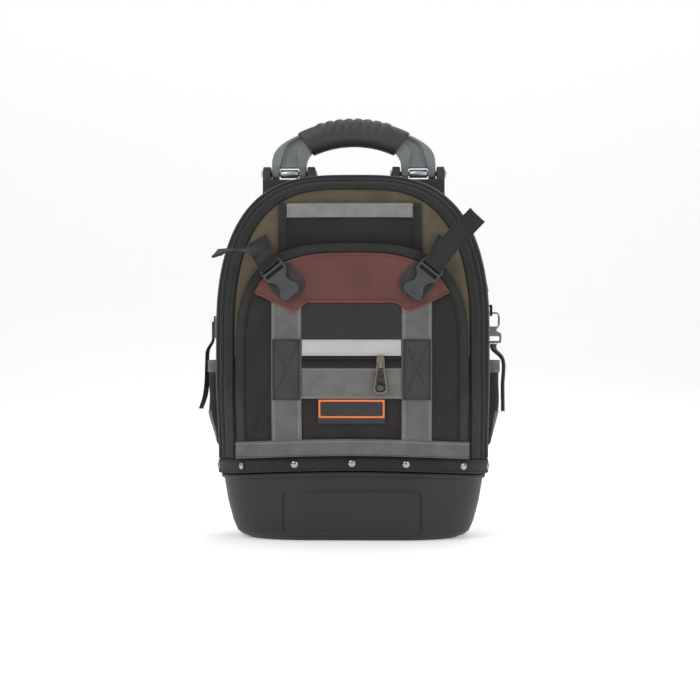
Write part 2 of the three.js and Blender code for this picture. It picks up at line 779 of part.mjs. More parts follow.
// The loose ends past the buckles, as shares of their length: outwards, forwards and up. across is the
// direction over the strap's width.
const tails = {
  right: [
    { out: 0.16, front: 0.17, up: 0.215 },
    { out: 0.36, front: 0.22, up: 0.42 },
    { out: 0.566, front: 0.24, up: 0.635 },
  ],
  left: [
    { out: 0.06, front: 0.14, up: 0.1, across: [0.7, -0.35, 0.62] },
    { out: 0.18, front: 0.2, up: 0.14, across: [0.35, -0.85, 0.4] },
    { out: 0.33, front: 0.22, up: 0.14, across: [0.05, -1, 0.04] },
    { out: 0.52, front: 0.17, up: 0.13, across: [-0.02, -1, -0.24] },
    { out: 0.72, front: 0.1, up: 0.1, across: [-0.04, -1, -0.42] },
  ],
};

function buildBuckles() {
  for (const [name, side] of [["left", -1], ["right", 1]]) {
    const lean = radians(side * -buckleLean);
    const mid = buckleLength * 0.45;
    const x = side * buckleFootX - Math.sin(lean) * mid;
    const z = buckleFootZ + Math.cos(lean) * mid;
    const step = 4;
    const slopeX = (pocketY(x + step, z) - pocketY(x - step, z)) / (2 * step);
    const slopeZ = (pocketY(x, z + step) - pocketY(x, z - step)) / (2 * step);
    const off = new THREE.Vector3(slopeX, 1, slopeZ).normalize().multiply(new THREE.Vector3(-1, -1, -1));
    const up = new THREE.Vector3(-Math.sin(lean), 0, Math.cos(lean));
    up.addScaledVector(off, -up.dot(off)).normalize();
    const across = new THREE.Vector3().crossVectors(up, off);
    const buckle = new THREE.Group();
    buckle.name = "buckle_" + name;
    const lift = 3 * gap + webbing + leather + buckleLift;
    buckle.quaternion.setFromRotationMatrix(new THREE.Matrix4().makeBasis(across, up, off));
    buckle.position.set(x, -pocketY(x, z), z).addScaledVector(off, lift).addScaledVector(up, -mid);
    bag.add(buckle);
    add("buckle_receiver_" + name, receiverGeometry(), "rubber", buckle);
    const clip = add("buckle_clip_" + name, clipGeometry(), "rubber", buckle);
    clip.position.z = receiverThick + gap;

    buckle.updateMatrixWorld(true);
    const at = (u, v, w) => new THREE.Vector3(u, v, w).applyMatrix4(buckle.matrixWorld).toArray();
    const crossways = across.toArray();
    const top = receiverThick + gap + clipThick;
    // The fixed webbing comes down from the zip band to the underside of the clip's frame.
    const anchorX = side * (doorEdgeX(anchorZ) - strapWidth * 0.4);
    const anchorY = -(faceY(anchorX, anchorZ) + 3 * gap + webbing / 2);
    const under = receiverThick - gap - webbing / 2;
    const frameEnd = at(0, buckleLength + clipBar, under - gap);
    add("anchor_strap_" + name, strap([
      { at: [anchorX, anchorY, anchorZ], across: [across.x, 0, across.z] },
      {
        at: new THREE.Vector3(anchorX, anchorY, anchorZ).lerp(new THREE.Vector3(...frameEnd), 0.5).toArray(),
        across: crossways,
      },
      { at: frameEnd, across: crossways },
      { at: at(0, buckleLength - 2 * clipBar, under), across: crossways },
    ], strapWidth, webbing, 6, 2), "canvas");
    // The loose end comes out over the frame.
    const start = [
      { at: at(0, buckleLength - 6, top + gap + webbing), across: crossways },
      { at: at(0, buckleLength + 5, top + 2 * gap + webbing), across: crossways },
    ];
    const free = start[1].at;
    const tail = tails[name].map((row) => ({
      at: [
        free[0] + side * row.out * tailLength,
        free[1] - row.front * tailLength,
        free[2] + row.up * tailLength,
      ],
      across: row.across ?? crossways,
    }));
    add("loose_strap_" + name, strap([...start, ...tail], strapWidth, webbing, 9, 1), "canvas");
  }
}

// The recessed field in the arm's face, from the middle of its fork: shares of the arm's width
const recessOutline = [
  { out: -0.3, up: 0.06 },
  { out: 0.29, up: 0.06 },
  { out: 0.26, up: 0.2 },
  { out: 0.12, up: 0.44 },
  { out: -0.09, up: 0.62 },
  { out: -0.25, up: 0.69 },
  { out: -0.38, up: 0.55 },
  { out: -0.32, up: 0.27 },
];

// Handle outline in the XZ plane, from the grip's hidden core out to one arm's two legs.
const gripCentreZ = gripTop - gripHigh / 2 - gripRadius;
const gripPoint = (degrees, radius) => [
  radius * Math.sin(radians(degrees)),
  gripCentreZ + radius * Math.cos(radians(degrees)),
];

function buildHandle() {
  const handle = new THREE.Group();
  handle.name = "handle";
  bag.add(handle);
  const innerX = armOuterX - armWidth;
  const legFoot = handlePivotZ - legBelowPivot;
  const end = gripHalfAngle + 0.25;
  const coreOut = gripRadius + coreHigh / 2;
  const coreIn = gripRadius - coreHigh / 2;

  // One profile for the whole frame: over the top of the core and both arms, and back underneath.
  const frame = new THREE.Shape();
  const shoulderOut = gripPoint(end, gripRadius + gripHigh / 2 - 3.5);
  const shoulderIn = gripPoint(end, gripRadius - gripHigh / 2 + 3);
  const outerBend = [mix(armOuterX, shoulderOut[0], 0.35), mix(handlePivotZ, shoulderOut[1], 0.78)];
  const innerBendZ = mix(handlePivotZ, shoulderIn[1], 0.75);
  const straightTop = mix(handlePivotZ, handlePivotZ + armShoulder, 0.375);
  frame.moveTo(armOuterX, legFoot + legCorner);
  frame.lineTo(armOuterX, straightTop);
  frame.bezierCurveTo(armOuterX, handlePivotZ + armShoulder, ...outerBend, ...shoulderOut);
  for (const t of steps(8)) frame.lineTo(...gripPoint(mix(end, -end, t), coreOut));
  frame.lineTo(-shoulderOut[0], shoulderOut[1]);
  frame.bezierCurveTo(
    -outerBend[0], outerBend[1], -armOuterX, handlePivotZ + armShoulder, -armOuterX, straightTop,
  );
  frame.lineTo(-armOuterX, legFoot + legCorner);
  frame.lineTo(-armOuterX + legCorner, legFoot);
  frame.lineTo(-innerX - legCorner, legFoot);
  frame.lineTo(-innerX, legFoot + legCorner);
  frame.lineTo(-innerX, handlePivotZ + armFork);
  frame.quadraticCurveTo(-innerX, innerBendZ, -shoulderIn[0], shoulderIn[1]);
  for (const t of steps(8)) frame.lineTo(...gripPoint(mix(-end, end, t), coreIn));
  frame.lineTo(shoulderIn[0], shoulderIn[1]);
  frame.quadraticCurveTo(innerX, innerBendZ, innerX, handlePivotZ + armFork);
  frame.lineTo(innerX, legFoot + legCorner);
  frame.lineTo(innerX + legCorner, legFoot);
  frame.lineTo(armOuterX - legCorner, legFoot);
  frame.closePath();
  const upright = (geometry, depth) => geometry.rotateX(Math.PI / 2).translate(0, depth / 2, 0);
  let body = solid(upright(extrude(frame, armThick, 4), armThick));

  // Seen from the side, the legs narrow to round ends about the pivot.
  const side = new THREE.Shape();
  const clear = armThick;
  side.moveTo(-clear, gripTop);
  side.lineTo(-clear, handlePivotZ + clear);
  side.lineTo(-armThick / 2, handlePivotZ + 9);
  side.lineTo(-legBelowPivot, handlePivotZ);
  for (const t of steps(8)) {
    const angle = Math.PI * (1 + t);
    side.lineTo(legBelowPivot * Math.cos(angle), handlePivotZ + legBelowPivot * Math.sin(angle));
  }
  side.lineTo(armThick / 2, handlePivotZ + 9);
  side.lineTo(clear, handlePivotZ + clear);
  side.lineTo(clear, gripTop);
  side.closePath();
  const along = extrude(side, 4 * armOuterX).rotateX(Math.PI / 2).rotateZ(Math.PI / 2);
  body = body.intersect(solid(along.translate(-2 * armOuterX, 0, 0)));

  // The core is thinner than the arms, front and back.
  const coreBand = (high) => {
    const shape = new THREE.Shape();
    steps(4).forEach((t, i) => {
      const p = gripPoint(mix(end, -end, t), gripRadius + high);
      if (i) shape.lineTo(...p);
      else shape.moveTo(...p);
    });
    for (const t of steps(4)) shape.lineTo(...gripPoint(mix(-end, end, t), gripRadius - high));
    return shape;
  };
  const shave = (armThick - coreThick) / 2;
  for (const side of [-1, 1]) {
    const cut = upright(extrude(coreBand(gripHigh), shave + 1), shave + 1);
    cut.translate(0, (side * (coreThick + shave + 1)) / 2, 0);
    body = body.subtract(solid(cut));
  }

  const pinHole = new THREE.CylinderGeometry(pinRadius + pinGap, pinRadius + pinGap, 4 * armOuterX, 10);
  pinHole.rotateZ(Math.PI / 2).translate(0, 0, handlePivotZ);
  body = body.subtract(solid(pinHole));
  const forkWidth = armWidth - 2 * legWidth;
  const forkTop = handlePivotZ + sleeveRadius + 1.8;
  for (const side of [-1, 1]) {
    const middle = side * (armOuterX - armWidth / 2);
    const fork = new THREE.BoxGeometry(forkWidth, 2 * armThick, forkTop - legFoot + 10);
    fork.translate(middle, 0, (forkTop + legFoot - 10) / 2);
    body = body.subtract(solid(fork));
    // The recessed field between the arm's ribs.
    const recess = roundedShape(recessOutline.map(({ out, up }) => [
      middle + side * out * armWidth, forkTop + up * armWidth,
    ]), 3);
    for (const face of [-1, 1]) {
      const field = upright(extrude(recess, 4), 4).translate(0, (face * armThick) / 2, 0);
      body = body.subtract(solid(field));
    }
  }
  add("handle_frame", geometryOf(body), "coated", handle);

  // Overmoulded grip with ribs over its top.
  const ribPitch = 2 * (gripHalfAngle - 7) / gripRibs;
  const ring = (degrees, rise, size) => steps(12).slice(0, -1).map((t) => {
    const angle = 2 * Math.PI * t;
    const up = Math.cos(angle);
    const out = Math.sin(angle);
    const lift = up > 0.25 ? rise : 0;
    const high = (size * gripHigh / 2 + lift) * Math.sign(up) * Math.abs(up) ** 0.8;
    const thick = (size * gripThick / 2 + lift * 0.6) * Math.sign(out) * Math.abs(out) ** 0.8;
    const [x, z] = gripPoint(degrees, gripRadius + high);
    return [x, thick, z];
  });
  const rings = [ring(-gripHalfAngle, 0, 0.94), ring(-gripHalfAngle + 1, 0, 1)];
  for (let i = 0; i < gripRibs; i++) {
    const middle = (i - (gripRibs - 1) / 2) * ribPitch;
    for (const [offset, rise] of [[-0.3, 0], [-0.22, gripRibRise], [0.22, gripRibRise], [0.3, 0]]) {
      rings.push(ring(middle + offset * ribPitch, rise, 1));
    }
  }
  rings.push(ring(gripHalfAngle - 1, 0, 1), ring(gripHalfAngle, 0, 0.94));
  const bore = new THREE.Shape();
  const past = end + end / 4;
  steps(10).forEach((t, i) => {
    const p = gripPoint(mix(past, -past, t), coreOut + gap);
    if (i) bore.lineTo(...p);
    else bore.moveTo(...p);
  });
  for (const t of steps(10)) bore.lineTo(...gripPoint(mix(-past, past, t), coreIn - gap));
  const boreThick = coreThick + 2 * gap;
  const grip = solid(loft(rings)).subtract(solid(upright(extrude(bore, boreThick), boreThick)));
  add("handle_grip", geometryOf(grip), "rubber", handle);

  for (const [name, side] of [["left", -1], ["right", 1]]) {
    const pin = new THREE.Group();
    pin.name = "pivot_" + name;
    bag.add(pin);
    const middle = side * (armOuterX - armWidth / 2);
    const reach = armWidth / 2 + earGap + earThick + gap;
    const profile = [
      [0, -reach - 3], [pinRadius + 1.4, -reach - 2.2], [pinRadius + 2.4, -reach], [pinRadius, -reach],
      [pinRadius, -forkWidth / 2 + 1.2], [sleeveRadius, -forkWidth / 2 + 1.2],
      [sleeveRadius, forkWidth / 2 - 1.2], [pinRadius, forkWidth / 2 - 1.2], [pinRadius, reach],
      [pinRadius + 2.4, reach], [pinRadius + 1.4, reach + 2.2], [0, reach + 3],
    ].map((p) => new THREE.Vector2(...p));
    const steel = new THREE.LatheGeometry(profile, 10).rotateZ(-Math.PI / 2);
    steel.translate(middle, 0, handlePivotZ);
    add("pin_" + name, steel, "steel", pin);
    add("bracket_" + name, bracketGeometry(side, middle, pinHole), "plastic", pin);
  }
}

// The bracket stands on the arch of the body: two ears joined by a seat, cut to the skin under it.
function bracketGeometry(side, middle, pinHole) {
  const halfInside = armWidth / 2 + earGap;
  const earTop = handlePivotZ + earHalfDepth;
  const low = archSpring + archRise * 0.8;
  const box = (x0, x1, z0, z1, depth) => {
    const g = new THREE.BoxGeometry(x1 - x0, depth, z1 - z0);
    return solid(g.translate((x0 + x1) / 2, 0, (z0 + z1) / 2));
  };
  const outerX = middle - halfInside - earThick;
  let bracket = box(outerX, outerX + 2 * (halfInside + earThick), low, bracketSeat, bracketDepth);
  for (const end of [-1, 1]) {
    const x = middle + end * (halfInside + earThick / 2);
    const ear = roundedShape([
      [-bracketDepth / 2, low], [bracketDepth / 2, low], [bracketDepth / 2, bracketSeat],
      [earHalfDepth, earTop], [-earHalfDepth, earTop], [-bracketDepth / 2, bracketSeat],
    ], 3);
    const g = extrude(ear, earThick).rotateX(Math.PI / 2).rotateZ(Math.PI / 2);
    bracket = bracket.add(solid(g.translate(x - earThick / 2, 0, 0)));
  }
  // Everything under the skin, with its gap, is taken away.
  const under = new THREE.Shape();
  const path = archAngles.map((angle) => archPoint(angle, -gap, -gap));
  under.moveTo(...path[0]);
  path.slice(1).forEach((p) => under.lineTo(...p));
  under.closePath();
  const below = extrude(under, 2 * bracketDepth).rotateX(Math.PI / 2).translate(0, bracketDepth, 0);
  return geometryOf(bracket.subtract(solid(below)).subtract(solid(pinHole)));
}

// A zip slider and its puller, in their own frame: x across the zip, y up and z off the fabric.
const sliderBody = 2.6;
const bailEye = 3;
const bailTop = 1.4;
const bailWidth = 3.2;
const barHalf = 0.9;
const pivotRise = sliderBody + bailEye / 2;

function sliderGeometry() {
  const half = sliderWidth / 2;
  const long = sliderLength / 2;
  const base = solid(extrude(roundedShape([
    [-half * 0.6, -long], [half * 0.6, -long], [half, 0], [half * 0.8, long], [-half * 0.8, long], [-half, 0],
  ], 1.4), sliderBody));
  const eyeTop = sliderBody + bailEye;
  const bail = new THREE.Shape();
  bail.moveTo(-long * 0.74, sliderBody / 2);
  bail.lineTo(-long * 0.66, eyeTop + bailTop - 1);
  bail.lineTo(-long * 0.45, eyeTop + bailTop);
  bail.lineTo(long * 0.45, eyeTop + bailTop);
  bail.lineTo(long * 0.66, eyeTop + bailTop - 1);
  bail.lineTo(long * 0.74, sliderBody / 2);
  bail.closePath();
  const eye = new THREE.Path();
  eye.moveTo(-long * 0.45, sliderBody);
  eye.lineTo(long * 0.45, sliderBody);
  eye.lineTo(long * 0.42, eyeTop);
  eye.lineTo(-long * 0.42, eyeTop);
  eye.closePath();
  bail.holes.push(eye);
  const loop = extrude(bail, bailWidth).translate(0, 0, -bailWidth / 2);
  loop.applyMatrix4(new THREE.Matrix4().makeBasis(
    new THREE.Vector3(0, 1, 0), new THREE.Vector3(0, 0, 1), new THREE.Vector3(1, 0, 0),
  ));
  return geometryOf(base.add(solid(loop)));
}

// The puller hangs from its cross bar, which lies under the bail at the frame's origin.
function pullerGeometry() {
  const neck = pullerNeck / 2;
  const wide = pullerWidth / 2;
  const outline = roundedShape([
    [-neck, barHalf], [-neck, -9], [-wide, -pullerLength + 8], [-wide * 0.55, -pullerLength + 1.4],
    [wide * 0.55, -pullerLength + 1.4], [wide, -pullerLength + 8], [neck, -9], [neck, barHalf],
  ], barHalf);
  const eye = new THREE.Path();
  eye.moveTo(-neck + 2, -barHalf);
  eye.lineTo(neck - 2, -barHalf);
  eye.lineTo(neck - 2, -10);
  eye.lineTo(-neck + 2, -10);
  eye.closePath();
  outline.holes.push(eye);
  return extrude(outline, 2 * barHalf).translate(0, 0, -barHalf);
}

function buildZips() {
  const place = (name, position, across, up, off) => {
    const zip = new THREE.Group();
    zip.name = name;
    zip.quaternion.setFromRotationMatrix(new THREE.Matrix4().makeBasis(across, up, off));
    zip.position.copy(position);
    bag.add(zip);
    add(name + "_slider", sliderGeometry(), "nickel", zip);
    const puller = add(name + "_puller", pullerGeometry(), "nickel", zip);
    puller.position.z = pivotRise;
  };
  const zipZ = zipTop - zipHeight / 2;
  const frontOff = pocketY(frontPullerX, zipZ) + gap + zipThick + gap;
  place(
    "pocket_zip", new THREE.Vector3(frontPullerX, -frontOff, zipZ),
    new THREE.Vector3(1, 0, 0), new THREE.Vector3(0, 0, 1), new THREE.Vector3(0, -1, 0),
  );
  const seat = rearZipPlace(sideSliderZ);
  for (const [name, side] of [["left", -1], ["right", 1]]) {
    const mirror = new THREE.Vector3(side, 1, 1);
    const up = seat.up.clone().multiply(mirror);
    const off = new THREE.Vector3(side * up.z, 0, -side * up.x);
    const across = new THREE.Vector3().crossVectors(up, off);
    place("side_zip_" + name, seat.at.clone().multiply(mirror).addScaledVector(off, gap), across, up, off);
  }
}

// How far the body's side lies from its middle plane.
function sideX(y, z) {
  const corner = cornerAt(z);
  const along = clamp((Math.abs(y) - (depthAt(z) - corner.y)) / corner.y, 0, 1);
  return halfWidth - corner.x + corner.x * Math.sqrt(1 - along * along);
}

function buildSides() {
  const halfPouch = sidePocketWidth / 2;
  const pouchX = (y, z) => {
    const across = Math.sqrt(1 - clamp(Math.abs(y - sidePocketY) / halfPouch, 0, 1) ** 6);
    const up = smooth(sidePocketBottom - 14, sidePocketBottom + 52, z);
    return sideX(y, z) + sideSeam + (sidePocketDepth - sideSeam) * across * up;
  };
  const sheet = (side, bottom, top, lift, thick, rows) => {
    const grid = (rise) => steps(rows).map((v) => steps(8).map((u) => {
      const y = sidePocketY + halfPouch * Math.sin(Math.PI * (u - 0.5));
      const z = mix(bottom, top, v);
      return [side * (pouchX(y, z) + rise), y, z];
    }));
    return slab(grid(lift + thick), grid(lift));
  };
  for (const [name, side] of [["left", -1], ["right", 1]]) {
    add("side_pocket_" + name, sheet(side, sidePocketBottom, sidePocketTop, -fabric, fabric, 5), "canvas");
    add("side_band_" + name, sheet(side, sidePocketTop - sideBand, sidePocketTop, gap, webbing, 1), "grey");
  }

  buildTapeClip();
  buildSnapHook();
}

// Left: a staple-shaped metal clip, and a strap that hangs from it over the side pocket.
function buildTapeClip() {
  const wallX = halfWidth + gap;
  const outline = [
    [0, clipTop + clipTab], [0, clipTop], [clipStand, clipTop],
    [clipStand, clipFoot], [0, clipFoot], [0, clipFoot - clipTab],
  ];
  const inline = [
    [clipMetal, clipFoot - clipTab], [clipMetal, clipFoot - clipMetal],
    [clipStand + clipMetal, clipFoot - clipMetal], [clipStand + clipMetal, clipTop + clipMetal],
    [clipMetal, clipTop + clipMetal], [clipMetal, clipTop + clipTab],
  ];
  const points = [...outline, ...inline].map(([out, z]) => new THREE.Vector2(-wallX - out, z));
  const shape = new THREE.Shape(points);
  const clip = extrude(shape, clipWidth).rotateX(Math.PI / 2).translate(0, sideGearY + clipWidth / 2, 0);
  add("tape_clip", clip, "nickel");
  const outer = wallX + clipStand + clipMetal + 2 * gap + webbing / 2;
  const over = halfWidth + sidePocketDepth + 1.5 * webbing + 4 * gap;
  const rows = [
    { out: outer, down: -0.21, turn: 0 },
    { out: outer, down: -0.02, turn: 0 },
    { out: outer + gap, down: 0.05, turn: 0 },
    { out: over, down: 0.19, turn: 0.1 },
    { out: over + 0.01 * hangLength, down: 0.36, turn: 0.12 },
    { out: over + 0.016 * hangLength, down: 0.66, turn: 0.2 },
    { out: over + 0.04 * hangLength, down: 0.83, turn: 0.2 },
    { out: over + 0.096 * hangLength, down: 1, turn: 0.15 },
  ];
  const places = rows.map(({ out, down, turn }) => (
    { at: [-out, sideGearY, clipFoot - down * hangLength], across: [turn, 1, 0] }
  ));
  add("hanging_strap_left", strap(places, clipWidth - 3, webbing, 10, 1), "canvas");
}

// Right: a sewn tab with a square ring, a snap hook through it, and the strap loop that hangs from the hook.
function buildSnapHook() {
  const tabX = halfWidth + gap + webbing / 2;
  const hookX = halfWidth + 2 * gap + hookFootWidth / 2;
  const ringX = hookX - hookWidth / 2 + hookWire + gap + ringThick / 2 + 1.2;
  const eyeHigh = ringHeight / 2 - ringWire;
  add("ring_tab", strap([
    { at: [tabX, sideGearY, ringZ + tabLength], across: [0, 1, 0] },
    { at: [tabX, sideGearY, ringZ + ringHeight / 2 + ringWire], across: [0, 1, 0] },
    { at: [mix(tabX, ringX, 0.5), sideGearY, ringZ + eyeHigh - 2 * gap], across: [0, 1, 0] },
    { at: [ringX + 2, sideGearY, ringZ + eyeHigh - gap - webbing / 2], across: [0, 1, 0] },
  ], ringWidth - 2 * ringWire - 2 * gap, webbing, 6, 1), "canvas");
  const frame = (wide, high) => [[-wide, -high], [wide, -high], [wide, high], [-wide, high]];
  const square = roundedShape(frame(ringWidth / 2, ringHeight / 2), 2);
  const eye = frame(ringWidth / 2 - ringWire, eyeHigh).map((p) => new THREE.Vector2(...p));
  square.holes.push(new THREE.Path(eye));
  const ring = extrude(square, ringThick).rotateX(Math.PI / 2).rotateZ(Math.PI / 2);
  add("side_ring", ring.translate(ringX - ringThick / 2, sideGearY, ringZ), "nickel");

  // The hook is flat and faces the front: an oval eye over a neck and a slotted foot for the webbing.
  const eyeTop = ringZ - eyeHigh + gap + hookWire;
  const half = hookWidth / 2;
  const foot = hookFootWidth / 2;
  const z = (share) => eyeTop - share * hookLength;
  const outline = roundedShape([
    [-half * 0.72, z(0)], [-half, z(0.14)], [-half, z(0.42)], [-3, z(0.6)], [-foot, z(0.68)], [-foot, z(1)],
    [foot, z(1)], [foot, z(0.68)], [3, z(0.6)], [half, z(0.42)], [half, z(0.14)], [half * 0.72, z(0)],
  ], 2.6);
  const hole = (wide, top, bottom) => {
    const path = [[-wide, top], [-wide, bottom], [wide, bottom], [wide, top]];
    outline.holes.push(new THREE.Path(path.map((p) => new THREE.Vector2(...p))));
  };
  hole(half - hookWire, eyeTop - hookWire, z(0.46));
  hole(foot - hookWire, z(0.78), z(0.92));
  const hook = extrude(outline, hookThick).rotateX(Math.PI / 2);
  add("snap_hook", hook.translate(hookX, sideGearY + hookThick / 2, 0), "nickel");

  const plies = 2.4 * webbing;
  const tilt = 0.12;
  const over = halfWidth + sidePocketDepth + webbing + 4 * gap + (plies + tilt * strapWidth) / 2;
  const rows = [
    { out: hookX, down: 0, turn: 0.4 },
    { out: hookX + gap, down: 0.07, turn: 0.3 },
    { out: over, down: 0.23, turn: tilt },
    { out: over, down: 0.63, turn: tilt },
    { out: over + gap, down: 1, turn: tilt },
  ];
  const places = rows.map(({ out, down, turn }) => (
    { at: [out, sideGearY, z(1) - 2 * gap - down * loopLength], across: [turn, 1, 0] }
  ));
  add("hanging_strap_right", strap(places, strapWidth - 4, plies, 8, 1), "canvas");
}

function buildBack() {
  const padStations = bandStations;
  const columns = [-1, -0.8, -0.45, 0, 0.45, 0.8, 1];
  const lift = backPadThick + ringGap + gap;
  add("back_pad", facePanel(1, padStations, columns, lift, backPadThick, backPadInset), "canvas");
  const strapY = (z, out) => depthAt(z) + lift + 2 * gap + shoulderThick / 2 + out;
  for (const [name, side] of [["left", -1], ["right", 1]]) {
    const rows = shoulderRows.map(({ down, out, bow, lean }) => {
      const z = mix(shoulderTop, shoulderEnd, down);
      const x = side * mix(shoulderTopX, shoulderEndX, out);
      return { at: [x, strapY(z, bow * shoulderBow), z], across: [1, 0, side * lean] };
    });
    add("shoulder_strap_" + name, strap(rows, shoulderWidth, shoulderThick, 9, 2), "canvas");

    // A ladder lock at the strap's end takes the webbing that comes up from the bag's side.
    const end = new THREE.Vector3(...rows.at(-1).at);
    const down = end.clone().sub(new THREE.Vector3(...rows.at(-2).at)).normalize();
    const across = new THREE.Vector3(...rows.at(-1).across);
    across.addScaledVector(down, -across.dot(down)).normalize();
    const lock = new THREE.Group();
    lock.name = "lock_" + name;
    lock.quaternion.setFromRotationMatrix(
      new THREE.Matrix4().makeBasis(across, down, new THREE.Vector3().crossVectors(across, down)),
    );
    lock.position.copy(end).addScaledVector(down, 2 * gap);
    bag.add(lock);
    const half = lockWidth / 2;
    const frame = roundedShape([[-half, 0], [half, 0], [half, lockLength], [-half, lockLength]], 2);
    for (const low of [0.16, 0.58]) {
      const wide = half - 3;
      const [a, b] = [lockLength * low, lockLength * (low + 0.24)];
      const slot = [[-wide, a], [-wide, b], [wide, b], [wide, a]].map((p) => new THREE.Vector2(...p));
      frame.holes.push(new THREE.Path(slot));
    }
    add("ladder_lock_" + name, extrude(frame, lockThick).translate(0, 0, -lockThick / 2), "rubber", lock);

    const start = end.clone().addScaledVector(down, lockLength + 4 * gap);
    const onward = start.clone().addScaledVector(down, strapWidth / 5);
    const sewn = [side * (lowerStrapX + fabric), faceY(lowerStrapX, lowerStrapZ) + fabric + gap, lowerStrapZ];
    const bend = [
      side * (lowerStrapX - 0.36 * strapWidth),
      mix(start.y, sewn[1], 0.3),
      mix(start.z, sewn[2], 0.5),
    ];
    add("lower_strap_" + name, strap([
      { at: start.toArray(), across: across.toArray() },
      { at: onward.toArray(), across: across.toArray() },
      { at: bend, across: [1, -0.6 * side, side * 0.3] },
      { at: sewn, across: [1, -0.9 * side, side * 0.3] },
    ], strapWidth, webbing, 7, 1), "canvas");
  }
}

buildBase();
buildBody();
buildPocket();
buildSleevePanel();
buildBuckles();
buildHandle();
buildZips();
buildSides();
buildBack();

export default bag;
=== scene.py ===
"""Looks of the tool backpack: fabric, webbing, leather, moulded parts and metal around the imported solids.

Geometry is worked out in millimetres, with the same surfaces as the solids, and mesh_of() turns it into metres.
"""
import math

import bmesh
import bpy
import numpy as np
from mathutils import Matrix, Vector


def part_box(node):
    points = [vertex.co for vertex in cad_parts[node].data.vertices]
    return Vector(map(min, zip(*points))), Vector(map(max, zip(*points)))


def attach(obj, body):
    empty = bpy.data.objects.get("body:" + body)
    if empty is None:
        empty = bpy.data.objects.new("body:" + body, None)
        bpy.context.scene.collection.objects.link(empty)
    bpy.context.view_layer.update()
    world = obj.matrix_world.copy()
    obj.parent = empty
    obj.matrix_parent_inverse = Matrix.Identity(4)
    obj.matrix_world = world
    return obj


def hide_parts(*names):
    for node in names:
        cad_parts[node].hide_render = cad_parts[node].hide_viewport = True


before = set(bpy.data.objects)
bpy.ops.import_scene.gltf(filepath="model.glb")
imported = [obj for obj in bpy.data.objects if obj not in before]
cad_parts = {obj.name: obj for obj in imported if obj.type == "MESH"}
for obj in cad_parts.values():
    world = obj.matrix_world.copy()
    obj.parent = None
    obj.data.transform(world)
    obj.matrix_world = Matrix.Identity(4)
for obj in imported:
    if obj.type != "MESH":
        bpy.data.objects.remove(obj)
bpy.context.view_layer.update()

MM = 0.001

# Sizes of the body, in millimetres
half_width = 172
half_depth = 100
body_top = 462
arch_spring = 262
arch_rise = body_top - arch_spring
side_power = 3.2
top_power = 2.4
body_taper = 5
base_corner = (106, 74)
edge_corner = (24, 38)
edge_top_share = 0.8
square_height = 215
gap = 0.4

# Base tub and the webbing round its rim
rim_height = 81.8
rim_arch = 7
rim_strip = 18.5
rim_lap = 1
flange_height = 5.4
tub_depth_share = 0.62
tub_rows = [(0, 37), (2.6, 32.5), (3.6, 28), (8.5, 22), (21, 16.5), (46, 9.8)]
tub_neck_inset = 4.6
panel_half = 85.5
panel_top = 60.5
panel_bottom = 8
panel_corner = 7
panel_rise = 2.4

# Slip pocket and what is sewn on it
half_pocket = 146
pocket_top = 374
pocket_spring = 236.5
pocket_side_power = 3
pocket_top_power = 2.8
pocket_depth = 24
pocket_mouth_share = 0.8
pocket_seam = 5.8
pocket_swell = 120
binding_width = 12
webbing = 1.5
strip_width = 38
strip_centre = 81
bottom_webbing = 21.6
leather = 1.8
leather_bottom = 300
leather_peak_drop = 12
leather_peak_x = 71
leather_notch_x = 57
leather_end_rise = 15
zip_top = 234
zip_height = 15.2
reflective_height = 20
ribbed_height = 38.7
cross_patch = (35, 76)
cross_patch_top = 254.6
label_half = 42
label_height = 22.4
sleeve_half = 89.5
sleeve_top = 424.7
sleeve_bottom = 150
sleeve_off = 9
sleeve_band = 18
sleeve_shift = 2.6  # it is sewn a little left of the middle

# Buckles, straps and handle
buckle_lean = 38.6
buckle_lift = 0.5
buckle_foot = (71, 308)
buckle_length = 50
buckle_width = 31
strap_width = 25
anchor_z = 380
tail_length = 85
clip_thick = 5.5
receiver_thick = 2.6
clip_bar = 3.5
pivot_z = 472
grip_radius = 143.5
grip_half_angle = 25.5
grip_high = 36
grip_thick = 34
grip_top = 543.2
grip_ribs = 7
arm_outer = 107
arm_width = 45
arm_thick = 20
leg_width = 9.5
leg_below = 7.6
pin_radius = 3.2
sleeve_radius = 5.5
ear_gap = 1.2
ear_thick = 10.5

# Sides and back
side_pocket_half = 31
side_pocket_y = 3.5
side_pocket_top = 228
side_pocket_bottom = 118
side_pocket_depth = 17
side_band = 16
side_seam = 2.8
side_gear_y = 8
back_pad_thick = 12
shoulder_width = 62
shoulder_thick = 11


def mix(a, b, t):
    return a + (b - a) * t


def smooth(low, high, x):
    t = np.clip((np.asarray(x, float) - low) / (high - low), 0, 1)
    return t * t * (3 - 2 * t)


def bump(centre, width, x):
    """A round hill of height 1 at centre, and nothing past width from it."""
    t = np.clip(np.abs((np.asarray(x, float) - centre) / width), 0, 1)
    return (1 - t * t) ** 2


def ripple(a, b, size, seed):
    """Soft uneven waves, about -1 to 1, whose humps are size apart. They are the same at each run."""
    rng = np.random.RandomState(seed)
    total = 0
    for turn, phase, scale in zip(rng.rand(7) * math.tau, rng.rand(7) * math.tau, 0.6 + rng.rand(7) * 0.9):
        k = math.tau / (size * scale)
        total = total + np.sin(k * (a * math.cos(turn) + b * math.sin(turn)) + phase)
    return total / 3


# The body's surfaces


def rim_top(x):
    return rim_height + rim_arch * (1 - np.clip((x / half_width) ** 2, 0, 1))


def body_foot(x):
    return rim_top(x) + gap


def depth_at(z):
    return half_depth - body_taper * np.clip((z - rim_height) / (body_top - rim_height), 0, 1)


def corner_at(z):
    t = smooth(rim_height + rim_arch + rim_strip, square_height, z)
    return mix(base_corner[0], edge_corner[0], t), mix(base_corner[1], edge_corner[1], t)


